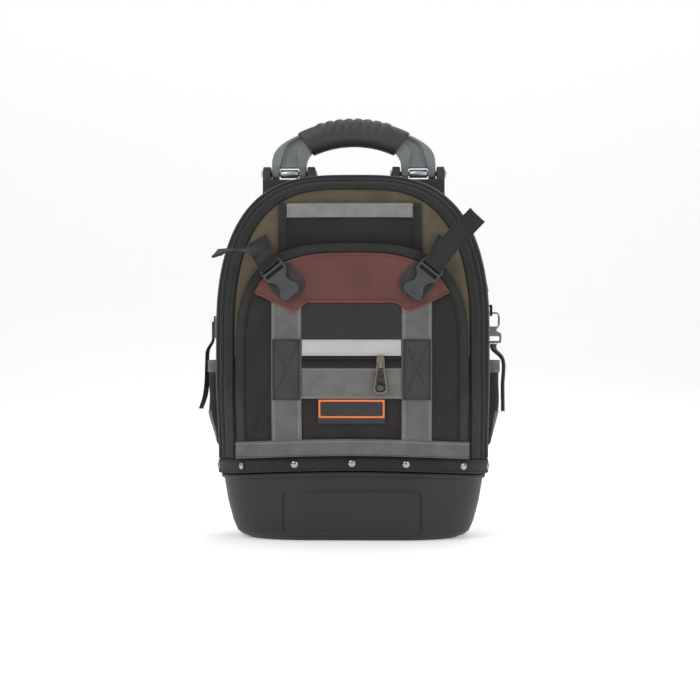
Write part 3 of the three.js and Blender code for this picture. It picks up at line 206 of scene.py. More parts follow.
def face_y(x, z):
    cx, cy = corner_at(z)
    along = np.clip((np.abs(x) - (half_width - cx)) / cx, 0, 1)
    return depth_at(z) - cy + cy * np.sqrt(1 - along**2)


def side_x(y, z):
    cx, cy = corner_at(z)
    along = np.clip((np.abs(y) - (depth_at(z) - cy)) / cy, 0, 1)
    return half_width - cx + cx * np.sqrt(1 - along**2)


def arch_point(angle, inset_x, inset_z):
    a = half_width - inset_x
    h = arch_rise - inset_z
    c = np.abs(np.cos(angle))
    s = np.abs(np.sin(angle))
    low = np.zeros(np.broadcast(a, h, c).shape)
    high = low + 2 * (half_width + arch_rise)
    for _ in range(44):
        r = (low + high) / 2
        past = (r * c / a) ** side_power + (r * s / h) ** top_power > 1
        high = np.where(past, r, high)
        low = np.where(past, low, r)
    return np.cos(angle) * low, arch_spring + np.sin(angle) * low


def arch_path(count, foot=0.0):
    """Stations over the arch at even distances, as (side, share) on the legs and angles on the arch."""
    leg = arch_spring - rim_height
    angles = np.linspace(math.pi, 0, 721)
    x, z = arch_point(angles, 0, 0)
    run = np.concatenate([[0], np.cumsum(np.hypot(np.diff(x), np.diff(z)))])
    total = 2 * leg * (1 - foot) + run[-1]
    at = np.linspace(0, total, count)
    leg_length = leg * (1 - foot)
    side = np.where(at < leg_length, -1, np.where(at > total - leg_length, 1, 0))
    share = np.where(side < 0, foot + at / leg, foot + (total - at) / leg)
    angle = np.interp(at - leg_length, run, angles)
    return side, np.clip(share, 0, 1), angle


def skin_point(path, turn, lift):
    """Points of the body's skin. path is arch_path's, turn runs from the front opening, -1, to the back one, 1."""
    side, share, angle = (np.asarray(v)[:, None] for v in path)
    turn = np.asarray(turn, float)[None, :]
    lift = np.broadcast_to(np.asarray(lift, float), (side.shape[0], turn.shape[1]))
    flat = 0.4
    on_leg = side != 0
    leg_z = np.where(on_leg, mix(body_foot(half_width), arch_spring, share), arch_spring)
    cx, cy = corner_at(leg_z)
    on_edge = np.maximum(0, np.abs(turn) - flat) / (1 - flat)
    reach = np.arccos(1 - edge_corner[0] / cx) * on_edge
    out = np.cos(reach)
    inset = cx * (1 - out)
    inset_x = inset - lift * out
    inset_z = edge_top_share * inset - lift * out
    leg_x = side * (half_width - inset_x)
    arch_x, arch_z = arch_point(np.broadcast_to(angle, inset_x.shape), inset_x, inset_z)
    x = np.where(on_leg, leg_x, arch_x)
    z = np.where(on_leg, mix(body_foot(leg_x), arch_spring, share), arch_z)
    straight = depth_at(z) - cy
    y = np.where(on_edge > 0, np.sign(turn) * (straight + (cy + lift) * np.sin(reach)), turn / flat * straight)
    return np.stack([x, y, z], -1)


def door_edge_x(z):
    up = np.clip((z - arch_spring) / (arch_rise - edge_top_share * edge_corner[0]), 0, 1)
    return (half_width - edge_corner[0]) * (1 - up**top_power) ** (1 / side_power)


def pocket_edge(x, inset=0):
    a = half_pocket - inset
    h = pocket_top - pocket_spring - inset
    left = 1 - np.clip(np.abs(x) / a, 0, 1) ** pocket_side_power
    return pocket_spring + h * left ** (1 / pocket_top_power)


def pocket_foot(x):
    return rim_top(x) + rim_strip + rim_lap


def pocket_folds(x, z):
    """Creases of the pocket's cloth, as a lift off its even face."""
    lift = 0.5 * ripple(x, z, 85, 3) * bump(0, 1, x / 170)
    for side, reach in ((-1, 1), (1, 0.8)):
        # A crease runs down and out, from beside the webbing to the pocket's bottom corner.
        line = side * x - mix(103, 124, smooth(200, 120, z))
        lift = lift - 2.6 * reach * bump(0, 9, line) * smooth(205, 150, z)
        lift = lift + 1.8 * reach * bump(9, 9, line) * smooth(205, 150, z)
    return lift * (1 - smooth(118, 134, np.abs(x))) * smooth(128, 146, z)


def pocket_y(x, z, folds=True):
    across = 1 - np.clip(np.abs(x) / half_pocket, 0, 1) ** 4
    up = 1 - (1 - np.clip((z - pocket_foot(x)) / pocket_swell, 0, 1)) ** 2
    mouth = mix(1, pocket_mouth_share, smooth(pocket_spring + 50, pocket_top, z))
    y = face_y(x, z) + pocket_seam + (pocket_depth - pocket_seam) * across * up * mouth
    return y + (pocket_folds(x, z) if folds else 0)


# Meshes


def mesh_of(name, points, faces, uvs=None, smooth_faces=True):
    """An object from points in millimetres. uvs hold a place in metres for each point."""
    mesh = bpy.data.meshes.new(name)
    mesh.from_pydata([tuple(p) for p in np.asarray(points, float) * MM], [], [tuple(f) for f in faces])
    if uvs is not None:
        layer = mesh.uv_layers.new(name="cloth")
        loops = np.empty(len(mesh.loops), int)
        mesh.loops.foreach_get("vertex_index", loops)
        layer.data.foreach_set("uv", (np.asarray(uvs, float)[loops] * MM).ravel())
    mesh.polygons.foreach_set("use_smooth", [smooth_faces] * len(mesh.polygons))
    mesh.update()
    piece = bpy.data.objects.new(name, mesh)
    bpy.context.scene.collection.objects.link(piece)
    return piece


def grid_faces(rows, columns, wrap=False):
    last = columns if wrap else columns - 1
    for i in range(rows - 1):
        for j in range(last):
            k = (j + 1) % columns
            yield (i * columns + j, i * columns + k, (i + 1) * columns + k, (i + 1) * columns + j)


def lengths(grid, axis):
    """Distances along a grid's rows or columns, averaged over it."""
    step = np.linalg.norm(np.diff(grid, axis=axis), axis=-1).mean(axis=1 - axis)
    return np.concatenate([[0], np.cumsum(step)])


def grid_mesh(name, grid, flip=False):
    """A sheet from grid[rows, columns, 3]. Its UV map holds the distances along the cloth."""
    rows, columns = grid.shape[:2]
    v, u = np.meshgrid(lengths(grid, 0), lengths(grid, 1), indexing="ij")
    faces = [f[::-1] if flip else f for f in grid_faces(rows, columns)]
    return mesh_of(name, grid.reshape(-1, 3), faces, np.stack([u, v], -1).reshape(-1, 2))


def thicken(piece, thick, rim_slot=0, bevel=0.0):
    """Gives a sheet a wall behind its faces."""
    wall = piece.modifiers.new("wall", "SOLIDIFY")
    wall.thickness = thick * MM
    wall.offset = -1
    wall.material_offset_rim = rim_slot
    if bevel:
        edge = piece.modifiers.new("edge", "BEVEL")
        edge.width = bevel * MM
        edge.segments = 2
        edge.limit_method = "ANGLE"
        edge.angle_limit = math.radians(50)
    return piece


def ribbon(name, centre, across, width, thick, closed_ends=True):
    """A flat strap with rounded edges along a line of points, with the directions over its width."""
    centre = np.asarray(centre, float)
    across = np.asarray(across, float)
    along = np.gradient(centre, axis=0)
    along /= np.linalg.norm(along, axis=1)[:, None]
    across = across - (across * along).sum(1)[:, None] * along
    across /= np.linalg.norm(across, axis=1)[:, None]
    normal = np.cross(along, across)
    half = width / 2
    edge = thick / 2
    profile = [(-half + edge, edge)] + [(x, edge) for x in np.linspace(-half + 2 * edge, half - 2 * edge, 7)]
    profile += [(half - edge, edge), (half - 0.3 * edge, 0.7 * edge), (half, 0)]
    profile += [(x, -y) for x, y in profile[::-1][1:]]
    profile += [(-half + 0.3 * edge, -0.7 * edge), (-half, 0), (-half + 0.3 * edge, 0.7 * edge)]
    profile = np.array(profile)
    points = (
        centre[:, None]
        + profile[None, :, :1] * across[:, None]
        + profile[None, :, 1:] * normal[:, None]
    )
    rows, columns = points.shape[:2]
    run = np.concatenate([[0], np.cumsum(np.linalg.norm(np.diff(centre, axis=0), axis=1))])
    sideways = np.broadcast_to(profile[:, 0], (rows, columns))
    lengthways = np.broadcast_to(run[:, None], (rows, columns))
    uvs = np.stack([sideways, lengthways], -1)
    faces = list(grid_faces(rows, columns, wrap=True))
    if closed_ends:
        faces.append(tuple(range(columns))[::-1])
        faces.append(tuple((rows - 1) * columns + j for j in range(columns)))
    piece = mesh_of(name, points.reshape(-1, 3), faces, uvs.reshape(-1, 2))
    outward(piece)
    return piece


def outward(piece):
    """Faces of a closed piece point out."""
    work = bmesh.new()
    work.from_mesh(piece.data)
    bmesh.ops.remove_doubles(work, verts=work.verts, dist=1e-6)
    bmesh.ops.recalc_face_normals(work, faces=work.faces)
    work.to_mesh(piece.data)
    work.free()


def curve_through(points, count, turns=None):
    """A smooth line through points, at even steps, with directions blended between them."""
    points = np.asarray(points, float)
    gaps = np.sqrt(np.linalg.norm(np.diff(points, axis=0), axis=1))
    knots = np.concatenate([[0], np.cumsum(gaps)])
    first = 2 * points[0] - points[1]
    last = 2 * points[-1] - points[-2]
    padded = np.vstack([first, points, last])
    times = np.concatenate([[knots[0] - gaps[0]], knots, [knots[-1] + gaps[-1]]])
    fine = []
    spots = np.linspace(0, knots[-1], 40 * len(points))
    for t in spots:
        i = min(max(np.searchsorted(times, t, side="right") - 1, 1), len(padded) - 3)
        p0, p1, p2, p3 = padded[i - 1 : i + 3]
        t0, t1, t2, t3 = times[i - 1 : i + 3]
        a1 = mix(p0, p1, (t - t0) / (t1 - t0))
        a2 = mix(p1, p2, (t - t1) / (t2 - t1))
        a3 = mix(p2, p3, (t - t2) / (t3 - t2))
        b1 = mix(a1, a2, (t - t0) / (t2 - t0))
        b2 = mix(a2, a3, (t - t1) / (t3 - t1))
        fine.append(mix(b1, b2, (t - t1) / (t2 - t1)))
    fine = np.array(fine)
    run = np.concatenate([[0], np.cumsum(np.linalg.norm(np.diff(fine, axis=0), axis=1))])
    at = np.linspace(0, run[-1], count)
    line = np.stack([np.interp(at, run, fine[:, k]) for k in range(3)], -1)
    if turns is None:
        return line
    turns = np.asarray(turns, float)
    turns = turns / np.linalg.norm(turns, axis=1)[:, None]
    when = np.interp(at, run, spots)
    return line, np.stack([np.interp(when, knots, turns[:, k]) for k in range(3)], -1)


# Materials


def colour(code):
    """The linear colour of an sRGB hex value."""
    parts = [int(code[i : i + 2], 16) / 255 for i in (1, 3, 5)]
    return tuple(c / 12.92 if c <= 0.04045 else ((c + 0.055) / 1.055) ** 2.4 for c in parts) + (1,)


def add_node(tree, kind, inputs=(), **settings):
    """Adds a node. inputs pair a socket's name or number with a value, or with the socket to link."""
    made = tree.nodes.new(kind)
    for key, value in settings.items():
        setattr(made, key, value)
    for key, value in dict(inputs).items():
        if isinstance(value, bpy.types.NodeSocket):
            tree.links.new(value, made.inputs[key])
        else:
            made.inputs[key].default_value = value
    return made


def new_material(name, base, roughness, **sockets):
    """A material with its shader. Returns it with its tree, shader and Object or UV coordinates."""
    made = bpy.data.materials.new(name)
    made.use_nodes = True
    tree = made.node_tree
    shader = tree.nodes["Principled BSDF"]
    shader.inputs["Base Color"].default_value = colour(base)
    shader.inputs["Roughness"].default_value = roughness
    for key, value in sockets.items():
        shader.inputs[key.replace("_", " ")].default_value = value
    place = add_node(tree, "ShaderNodeTexCoord")
    return made, tree, shader, place


def mottled(tree, shader, place, dark, light, size, contrast=1.0, detail=4):
    """Uneven colour, with patches size millimetres across."""
    cloud = add_node(
        tree, "ShaderNodeTexNoise", {"Vector": place.outputs["Object"], "Scale": 1 / (size * MM), "Detail": detail}
    )
    middle = 0.5
    spread = 0.22 / contrast
    ramp = add_node(tree, "ShaderNodeValToRGB", {"Fac": cloud.outputs["Fac"]})
    ramp.color_ramp.elements[0].position = middle - spread
    ramp.color_ramp.elements[0].color = colour(dark)
    ramp.color_ramp.elements[1].position = middle + spread
    ramp.color_ramp.elements[1].color = colour(light)
    tree.links.new(ramp.outputs["Color"], shader.inputs["Base Color"])
    return ramp.outputs["Color"]


def relief(tree, shader, height, depth, strength=1.0):
    """Bump from a height of 0 to 1 that is depth millimetres deep."""
    made = add_node(
        tree, "ShaderNodeBump", {"Height": height, "Distance": depth * MM, "Strength": strength}
    )
    tree.links.new(made.outputs["Normal"], shader.inputs["Normal"])
    return made


def waves(tree, vector, pitch_u, pitch_v):
    """Two rows of round threads, one along each way of the UV map, as sockets of 0 to 1."""
    parts = add_node(tree, "ShaderNodeSeparateXYZ", {0: vector})
    rows = []
    for axis, pitch in (("X", pitch_u), ("Y", pitch_v)):
        turned = add_node(
            tree, "ShaderNodeMath", {0: parts.outputs[axis], 1: math.pi / (pitch * MM)}, operation="MULTIPLY"
        )
        wave = add_node(tree, "ShaderNodeMath", {0: turned.outputs[0]}, operation="SINE")
        rows.append(add_node(tree, "ShaderNodeMath", {0: wave.outputs[0]}, operation="ABSOLUTE").outputs[0])
    return rows


def woven(tree, vector, pitch_u, pitch_v):
    """Height of a plain weave: threads of both ways take turns on top."""
    over_u, over_v = waves(tree, vector, pitch_u, pitch_v)
    scaled = add_node(
        tree, "ShaderNodeVectorMath", {0: vector, 1: (1 / (pitch_u * MM), 1 / (pitch_v * MM), 1)}, operation="MULTIPLY"
    )
    check = add_node(tree, "ShaderNodeTexChecker", {"Vector": scaled.outputs[0], "Scale": 1.0})
    height = add_node(
        tree, "ShaderNodeMix", {0: check.outputs["Fac"], 2: over_u, 3: over_v}, data_type="FLOAT"
    )
    return height.outputs[0]


def painted_hollow_shade(tree, shader, base, height, low, high):
    """Painted shade and light: the base colour darker in the hollows between the threads and lighter on their tops."""
    shade = add_node(tree, "ShaderNodeMapRange", {"Value": height, "To Min": low, "To Max": high})
    mixed = add_node(
        tree, "ShaderNodeMix", {0: 1.0, 6: base, 7: shade.outputs[0]}, data_type="RGBA", blend_type="MULTIPLY"
    )
    tree.links.new(mixed.outputs[2], shader.inputs["Base Color"])


def cloth_material(name, dark, light, pitch_u, pitch_v, depth, roughness=0.9, shade=(0.5, 1.2), size=30):
    """Woven cloth: a matt face of crossing threads, with painted shade in their hollows and painted light on their
    tops, and a faint fuzz of loose fibre.
    """
    made, tree, shader, place = new_material(name, light, roughness, Sheen_Weight=0.12, Sheen_Roughness=0.6)
    shader.inputs["Sheen Tint"].default_value = colour("#8A857E")
    base = mottled(tree, shader, place, dark, light, size)
    height = woven(tree, place.outputs["UV"], pitch_u, pitch_v)
    # Painted shade: the colour is darker in the weave's hollows and lighter on the threads' tops.
    painted_hollow_shade(tree, shader, base, height, *shade)
    relief(tree, shader, height, depth)
    return made


def object_cloth(name, dark, light, pitch, depth, roughness=0.9):
    """Woven cloth on a padded piece, which has no UV map: its threads follow the object's X and Z."""
    made, tree, shader, place = new_material(name, light, roughness, Sheen_Weight=0.12, Sheen_Roughness=0.6)
    base = mottled(tree, shader, place, dark, light, 30)
    turned = add_node(
        tree, "ShaderNodeMapping", {"Vector": place.outputs["Object"], "Rotation": (math.radians(90), 0, 0)}
    )
    height = woven(tree, turned.outputs[0], pitch, pitch)
    # Painted shade: the colour is darker in the weave's hollows and lighter on the threads' tops.
    painted_hollow_shade(tree, shader, base, height, 0.7, 1.1)
    relief(tree, shader, height, depth)
    return made


def ribbed_material(name, dark, light, rib, thread, depth, shade=(0.4, 1.25), roughness=0.85):
    """Webbing: ribs across its length, each made of fine threads along it, as a shuttle loom packs them."""
    made, tree, shader, place = new_material(name, light, roughness, Sheen_Weight=0.1, Sheen_Roughness=0.6)
    base = mottled(tree, shader, place, dark, light, 18)
    over_u, over_v = waves(tree, place.outputs["UV"], thread, rib)
    fine = add_node(tree, "ShaderNodeMath", {0: over_u, 1: 0.35}, operation="MULTIPLY")
    height = add_node(tree, "ShaderNodeMath", {0: over_v, 1: fine.outputs[0]}, operation="ADD")
    # Painted shade: the colour is darker between the ribs and threads and lighter on their tops.
    painted_hollow_shade(tree, shader, base, height.outputs[0], *shade)
    relief(tree, shader, height.outputs[0], depth)
    return made


def moulded_material(name, base, light, roughness, grain=0.5, depth=0.04, **sockets):
    """Injection-moulded plastic: an even colour and the fine spark-eroded grain of the mould."""
    made, tree, shader, place = new_material(name, base, roughness, IOR=1.49, **sockets)
    mottled(tree, shader, place, base, light, 60, 0.8, 2)
    speck = add_node(
        tree, "ShaderNodeTexNoise", {"Vector": place.outputs["Object"], "Scale": 1 / (grain * MM), "Detail": 2.0}
    )
    relief(tree, shader, speck.outputs["Fac"], depth)
    return made


def metal_material(name, base, roughness, brush=0.0):
    """Plated or turned metal: its gloss is broken by fine scratches."""
    made, tree, shader, place = new_material(name, base, roughness, Metallic=1.0)
    scratch = add_node(
        tree, "ShaderNodeTexNoise", {"Vector": place.outputs["Object"], "Scale": 1 / (0.9 * MM), "Detail": 3.0}
    )
    worn = add_node(
        tree, "ShaderNodeMapRange",
        {"Value": scratch.outputs["Fac"], "To Min": max(0.02, roughness - 0.08), "To Max": roughness + 0.12},
    )
    tree.links.new(worn.outputs[0], shader.inputs["Roughness"])
    relief(tree, shader, scratch.outputs["Fac"], 0.02 + brush)
    return made


def leather_material():
    """Waxed full-grain leather: pebbled grain with painted shade in its hollows, rubbed patches and a soft gloss."""
    made, tree, shader, place = new_material("waxed_leather", "#5E322B", 0.55, Coat_Weight=0.12, Coat_Roughness=0.45)
    base = mottled(tree, shader, place, "#4B241F", "#65362F", 55, 0.8)
    cells = add_node(
        tree, "ShaderNodeTexVoronoi", {"Vector": place.outputs["Object"], "Scale": 1 / (1.5 * MM)}, feature="F1"
    )
    folds = add_node(
        tree, "ShaderNodeTexNoise", {"Vector": place.outputs["Object"], "Scale": 1 / (7 * MM), "Detail": 5.0}
    )
    height = add_node(
        tree, "ShaderNodeMath", {0: cells.outputs["Distance"], 1: folds.outputs["Fac"]}, operation="ADD"
    )
    # Painted shade: the colour is darker in the grain's hollows and lighter on its tops.
    painted_hollow_shade(tree, shader, base, height.outputs[0], 0.78, 1.12)
    relief(tree, shader, height.outputs[0], 0.16)
    return made


def mesh_fabric():
    """Spacer mesh of the back: a net of small round holes over foam, with painted shade in the holes."""
    made, tree, shader, place = new_material("spacer_mesh", "#2B2B2C", 0.92, Sheen_Weight=0.15)
    hole = 3.4
    scaled = add_node(
        tree, "ShaderNodeVectorMath", {0: place.outputs["Object"], 1: (1, 0.35, 1)}, operation="MULTIPLY"
    )
    cells = add_node(
        tree, "ShaderNodeTexVoronoi", {"Vector": scaled.outputs[0], "Scale": 1 / (hole * MM), "Randomness": 0.15},
        feature="F1",
    )
    wall = add_node(
        tree, "ShaderNodeMapRange", {"Value": cells.outputs["Distance"], "From Min": 0.2, "From Max": 0.5}
    )
    base = mottled(tree, shader, place, "#262627", "#313132", 25)
    # Painted shade: the colour is darker in the mesh's holes and lighter on its walls.
    painted_hollow_shade(tree, shader, base, wall.outputs[0], 0.35, 1.1)
    relief(tree, shader, wall.outputs[0], 0.8)
    return made


# Cordura-type nylon of the body: thread spacing 0.9 mm, drawn a little coarse so that it shows
canvas = cloth_material("ballistic_nylon", "#211F1E", "#2C2A28", 1.1, 1.1, 0.22)
# Lining-weight ripstop of the doors, whose heavier threads make short level ribs
khaki = cloth_material("khaki_ripstop", "#5D5443", "#6E6452", 1.6, 2.6, 0.2, shade=(0.82, 1.06))
black_webbing = ribbed_material("black_webbing", "#171615", "#22201F", 1.5, 0.8, 0.25)
binding_tape = ribbed_material("grosgrain_binding", "#191817", "#262423", 2.0, 1.2, 0.3)
zip_tape = ribbed_material("zip_tape", "#141413", "#1D1C1B", 1.2, 1.2, 0.12)
grey_webbing = ribbed_material("grey_webbing", "#5A5958", "#6A6968", 1.7, 1.0, 0.25, shade=(0.72, 1.08))
grey_ribbed = ribbed_material("grey_grosgrain", "#636260", "#71706E", 1.4, 1.6, 0.22, shade=(0.78, 1.06))
silver_knit = ribbed_material(
    "silver_knit_band", "#70716E", "#888986", 2.2, 2.6, 0.35, shade=(0.62, 1.15), roughness=0.6
)
reflective = cloth_material(
    "reflective_tape", "#B2B2B1", "#BDBDBC", 0.8, 0.8, 0.04, roughness=0.45, shade=(0.95, 1.02), size=18
)
satin_ribbon = cloth_material("satin_name_ribbon", "#181717", "#211F1F", 0.7, 0.7, 0.05, roughness=0.6)
waxed_leather = leather_material()
# Cut edge of the leather, where the dye hasn't gone in
raw_edge = moulded_material("raw_leather_edge", "#9A5230", "#7E4029", 0.8, 0.8, 0.1)
tub_plastic = moulded_material("polypropylene_tub", "#1F1E1E", "#262525", 0.5, 0.7, 0.05)
bracket_plastic = moulded_material("bracket_nylon", "#262424", "#302D2C", 0.55, 0.7, 0.06)
acetal = moulded_material("acetal_buckle", "#3B3C3E", "#47484B", 0.42, 0.5, 0.02)
handle_plastic = moulded_material("glass_filled_nylon", "#767C7D", "#828787", 0.42, 0.5, 0.03)
grip_rubber = moulded_material("grip_rubber", "#353537", "#3F3F41", 0.5, 0.8, 0.08)
patch_rubber = moulded_material("patch_rubber", "#2F2E30", "#38373A", 0.55, 1.2, 0.1)
label_rubber = moulded_material("label_rubber", "#262525", "#2C2B2B", 0.5, 0.5, 0.03)
orange_rubber = moulded_material("orange_rubber", "#E8743A", "#F08243", 0.5, 0.5, 0.03)
rivet_nickel = metal_material("nickel_rivet", "#B5A69B", 0.2)
puller_nickel = metal_material("antique_nickel", "#8F8880", 0.28)
dark_nickel = metal_material("dark_nickel", "#4A4744", 0.4)
turned_steel = metal_material("turned_steel", "#C4C7CC", 0.4)
black_metal = metal_material("black_oxide", "#3A3A3C", 0.35)
coil_nylon = moulded_material("zip_coil_nylon", "#131313", "#1A1A1A", 0.28, 0.4, 0.02)
black_thread = moulded_material("black_thread", "#0C0C0C", "#121212", 0.7, 0.3, 0.05)
grey_thread = moulded_material("grey_thread", "#8C8D89", "#9C9D99", 0.75, 0.3, 0.05)
pale_thread = moulded_material("pale_thread", "#A6A6A2", "#B6B6B2", 0.75, 0.3, 0.05)
brown_thread = moulded_material("brown_thread", "#4A2824", "#55302B", 0.7, 0.3, 0.05)
padding_mesh = mesh_fabric()
pad_cloth = object_cloth("pad_nylon", "#2A2928", "#343231", 1.1, 0.2)


def finish(piece, material, slot, body="bag", *nodes):
    """Gives a piece its material, its body and the solids that it stands for."""
    materials = material if isinstance(material, (list, tuple)) else [material]
    if not piece.data.materials:
        for each in materials:
            piece.data.materials.append(each)
    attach(piece, body)
    if nodes:
        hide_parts(*nodes)
    return piece


# What repeats along a line is made by Geometry Nodes


def row_tree(name, shape, material, even_steps):
    """A tree that sets a small shape along each line, at even steps or at its own points, Z along the stored normal."""
    tree = bpy.data.node_groups.new(name, "GeometryNodeTree")
    face = tree.interface
    face.new_socket("Geometry", in_out="INPUT", socket_type="NodeSocketGeometry")
    for label in ("Spacing", "Length", "Width", "Height"):
        face.new_socket(label, in_out="INPUT", socket_type="NodeSocketFloat")
    face.new_socket("Geometry", in_out="OUTPUT", socket_type="NodeSocketGeometry")
    given = add_node(tree, "NodeGroupInput")
    line = add_node(tree, "GeometryNodeMeshToCurve", {0: given.outputs["Geometry"]})
    spaced = line
    if even_steps:
        sizes = {"Curve": line.outputs[0], "Length": given.outputs["Spacing"]}
        spaced = add_node(tree, "GeometryNodeResampleCurve", sizes, mode="LENGTH")
    tangent = add_node(tree, "GeometryNodeInputTangent")
    normal = add_node(tree, "GeometryNodeInputNamedAttribute", {"Name": "out"}, data_type="FLOAT_VECTOR")
    along = add_node(tree, "FunctionNodeAlignEulerToVector", {"Vector": tangent.outputs[0]}, axis="X")
    upright = add_node(
        tree, "FunctionNodeAlignEulerToVector",
        {"Rotation": along.outputs[0], "Vector": normal.outputs["Attribute"]}, axis="Z", pivot_axis="X",
    )
    size = add_node(
        tree, "ShaderNodeCombineXYZ",
        {0: given.outputs["Length"], 1: given.outputs["Width"], 2: given.outputs["Height"]},
    )
    if shape == "ball":
        unit = add_node(tree, "GeometryNodeMeshUVSphere", {"Segments": 6, "Rings": 4, "Radius": 0.5})
    elif shape == "dome":
        unit = add_node(tree, "GeometryNodeMeshUVSphere", {"Segments": 28, "Rings": 14, "Radius": 0.5})
    else:
        box = {"Size": (1, 1, 1), "Vertices X": 2, "Vertices Y": 3, "Vertices Z": 2}
        unit = add_node(tree, "GeometryNodeMeshCube", box)
    placed = add_node(
        tree, "GeometryNodeInstanceOnPoints",
        {
            "Points": spaced.outputs[0], "Instance": unit.outputs["Mesh"],
            "Rotation": upright.outputs[0], "Scale": size.outputs[0],
        },
    )
    real = add_node(tree, "GeometryNodeRealizeInstances", {0: placed.outputs[0]})
    even = add_node(tree, "GeometryNodeSetShadeSmooth", {"Geometry": real.outputs[0], "Shade Smooth": shape != "block"})
    dressed = add_node(tree, "GeometryNodeSetMaterial", {"Geometry": even.outputs[0], "Material": material})
    add_node(tree, "NodeGroupOutput", {0: dressed.outputs[0]})
    return tree


def row_of(name, lines, shape, material, spacing, size, slot, body="bag", even_steps=True):
    """Small shapes along lines, each a pair of points and outward directions in millimetres."""
    points, edges, outs = [], [], []
    for line, out in lines:
        start = len(points)
        points += [tuple(p) for p in np.asarray(line, float) * MM]
        outs += [tuple(o) for o in np.asarray(out, float)]
        edges += [(start + i, start + i + 1) for i in range(len(line) - 1)]
    mesh = bpy.data.meshes.new(name + "_line")
    mesh.from_pydata(points, edges, [])
    stored = mesh.attributes.new("out", "FLOAT_VECTOR", "POINT")
    stored.data.foreach_set("vector", np.asarray(outs, np.float32).ravel())
    guide = bpy.data.objects.new(name + "_line", mesh)
    bpy.context.scene.collection.objects.link(guide)
    tree = row_tree(name + "_rows", shape, material, even_steps)
    made = guide.modifiers.new("rows", "NODES")
    made.node_group = tree
    values = {"Spacing": spacing, "Length": size[0], "Width": size[1], "Height": size[2]}
    for item in tree.interface.items_tree:
        if item.in_out == "INPUT" and item.name in values:
            made[item.identifier] = values[item.name] * MM
    graph = bpy.context.evaluated_depsgraph_get()
    result = bpy.data.meshes.new_from_object(guide.evaluated_get(graph))
    bpy.data.objects.remove(guide)
    piece = bpy.data.objects.new(name, result)
    bpy.context.scene.collection.objects.link(piece)
    return finish(piece, material, slot, body)


def stitches(name, lines, material=black_thread, slot="black_webbing", pitch=3.8, body="bag"):
    """Lock stitches, each a fat thread that dips into the cloth at its ends."""
    thread = 0.75
    return row_of(name, lines, "ball", material, pitch, (pitch * 0.82, thread, thread * 0.9), slot, body)


def on_surface(surface, xs, zs):
    """A line on the front of a surface y(x, z), with its outward directions."""
    xs = np.asarray(xs, float)
    zs = np.asarray(zs, float)
    step = 0.5
    y = surface(xs, zs)
    slope_x = (surface(xs + step, zs) - surface(xs - step, zs)) / (2 * step)
    slope_z = (surface(xs, zs + step) - surface(xs, zs - step)) / (2 * step)
    out = np.stack([-slope_x, -np.ones_like(xs), -slope_z], -1)
    out /= np.linalg.norm(out, axis=1)[:, None]
    return np.stack([xs, -y, zs], -1), out


def lifted(line, distance):
    points, out = line
    return points + out * distance, out


def straight(x0, z0, x1, z1, step=3.0):
    """Evenly spaced places from one point of the face to another."""
    count = max(2, int(math.hypot(x1 - x0, z1 - z0) / step) + 1)
    t = np.linspace(0, 1, count)
    return mix(x0, x1, t), mix(z0, z1, t)


# Base


def ring_columns():
    """Columns round the tub: fixed x over the front and back panels, angles round the ends."""
    near = np.concatenate([np.arange(0, 80, 4), np.arange(80, 92, 0.5), np.arange(92, 112, 3)])
    return np.concatenate([-near[:0:-1], near]), np.linspace(0, 1, 64)[1:]


def ring_points(inset_x, inset_y, height, offset=0.0):
    """One level ring of the base plan, anticlockwise from the front's left end. height is a function of x."""
    a, b = half_width - inset_x, half_depth - inset_y
    rx, ry = base_corner[0] - edge_top_share * inset_x, base_corner[1] - edge_top_share * inset_y
    across, ends = ring_columns()
    start = math.asin((across[-1] - (a - rx)) / rx)
    turn = mix(start, math.pi - start, ends[:-1])
    end_x = a - rx + (rx + offset) * np.sin(turn)
    end_y = -(b - ry + (ry + offset) * np.cos(turn))
    # The ends' straight parts join the front's and the back's corners.
    along = np.clip((np.abs(across) - (a - rx)) / rx, 0, 1)
    front_y = -(b - ry + (ry + offset) * np.sqrt(1 - along**2))
    flip = turn > math.pi / 2
    end_y = np.where(flip, b - ry - (ry + offset) * np.cos(turn), end_y)
    x = np.concatenate([across, end_x, across[::-1], -end_x])
    y = np.concatenate([front_y, end_y, -front_y, -end_y])
    return np.stack([x, y, height(x)], -1)


def tub_height(h):
    return lambda x: h + (rim_top(x) - rim_height) * min(1, h / rim_height) ** 2


def panel_lift(x, z):
    """How far the tub's front and back stand out: a raised panel with a groove round it."""
    corner = panel_corner
    dx = np.maximum(0, np.abs(x) - (panel_half - corner))
    dz = np.maximum(0, np.abs(z - (panel_top + panel_bottom) / 2) - ((panel_top - panel_bottom) / 2 - corner))
    far = np.hypot(dx, dz) - corner
    return panel_rise * (1 - smooth(-1.2, 0.6, far)) - 0.9 * bump(1.4, 1.6, far)


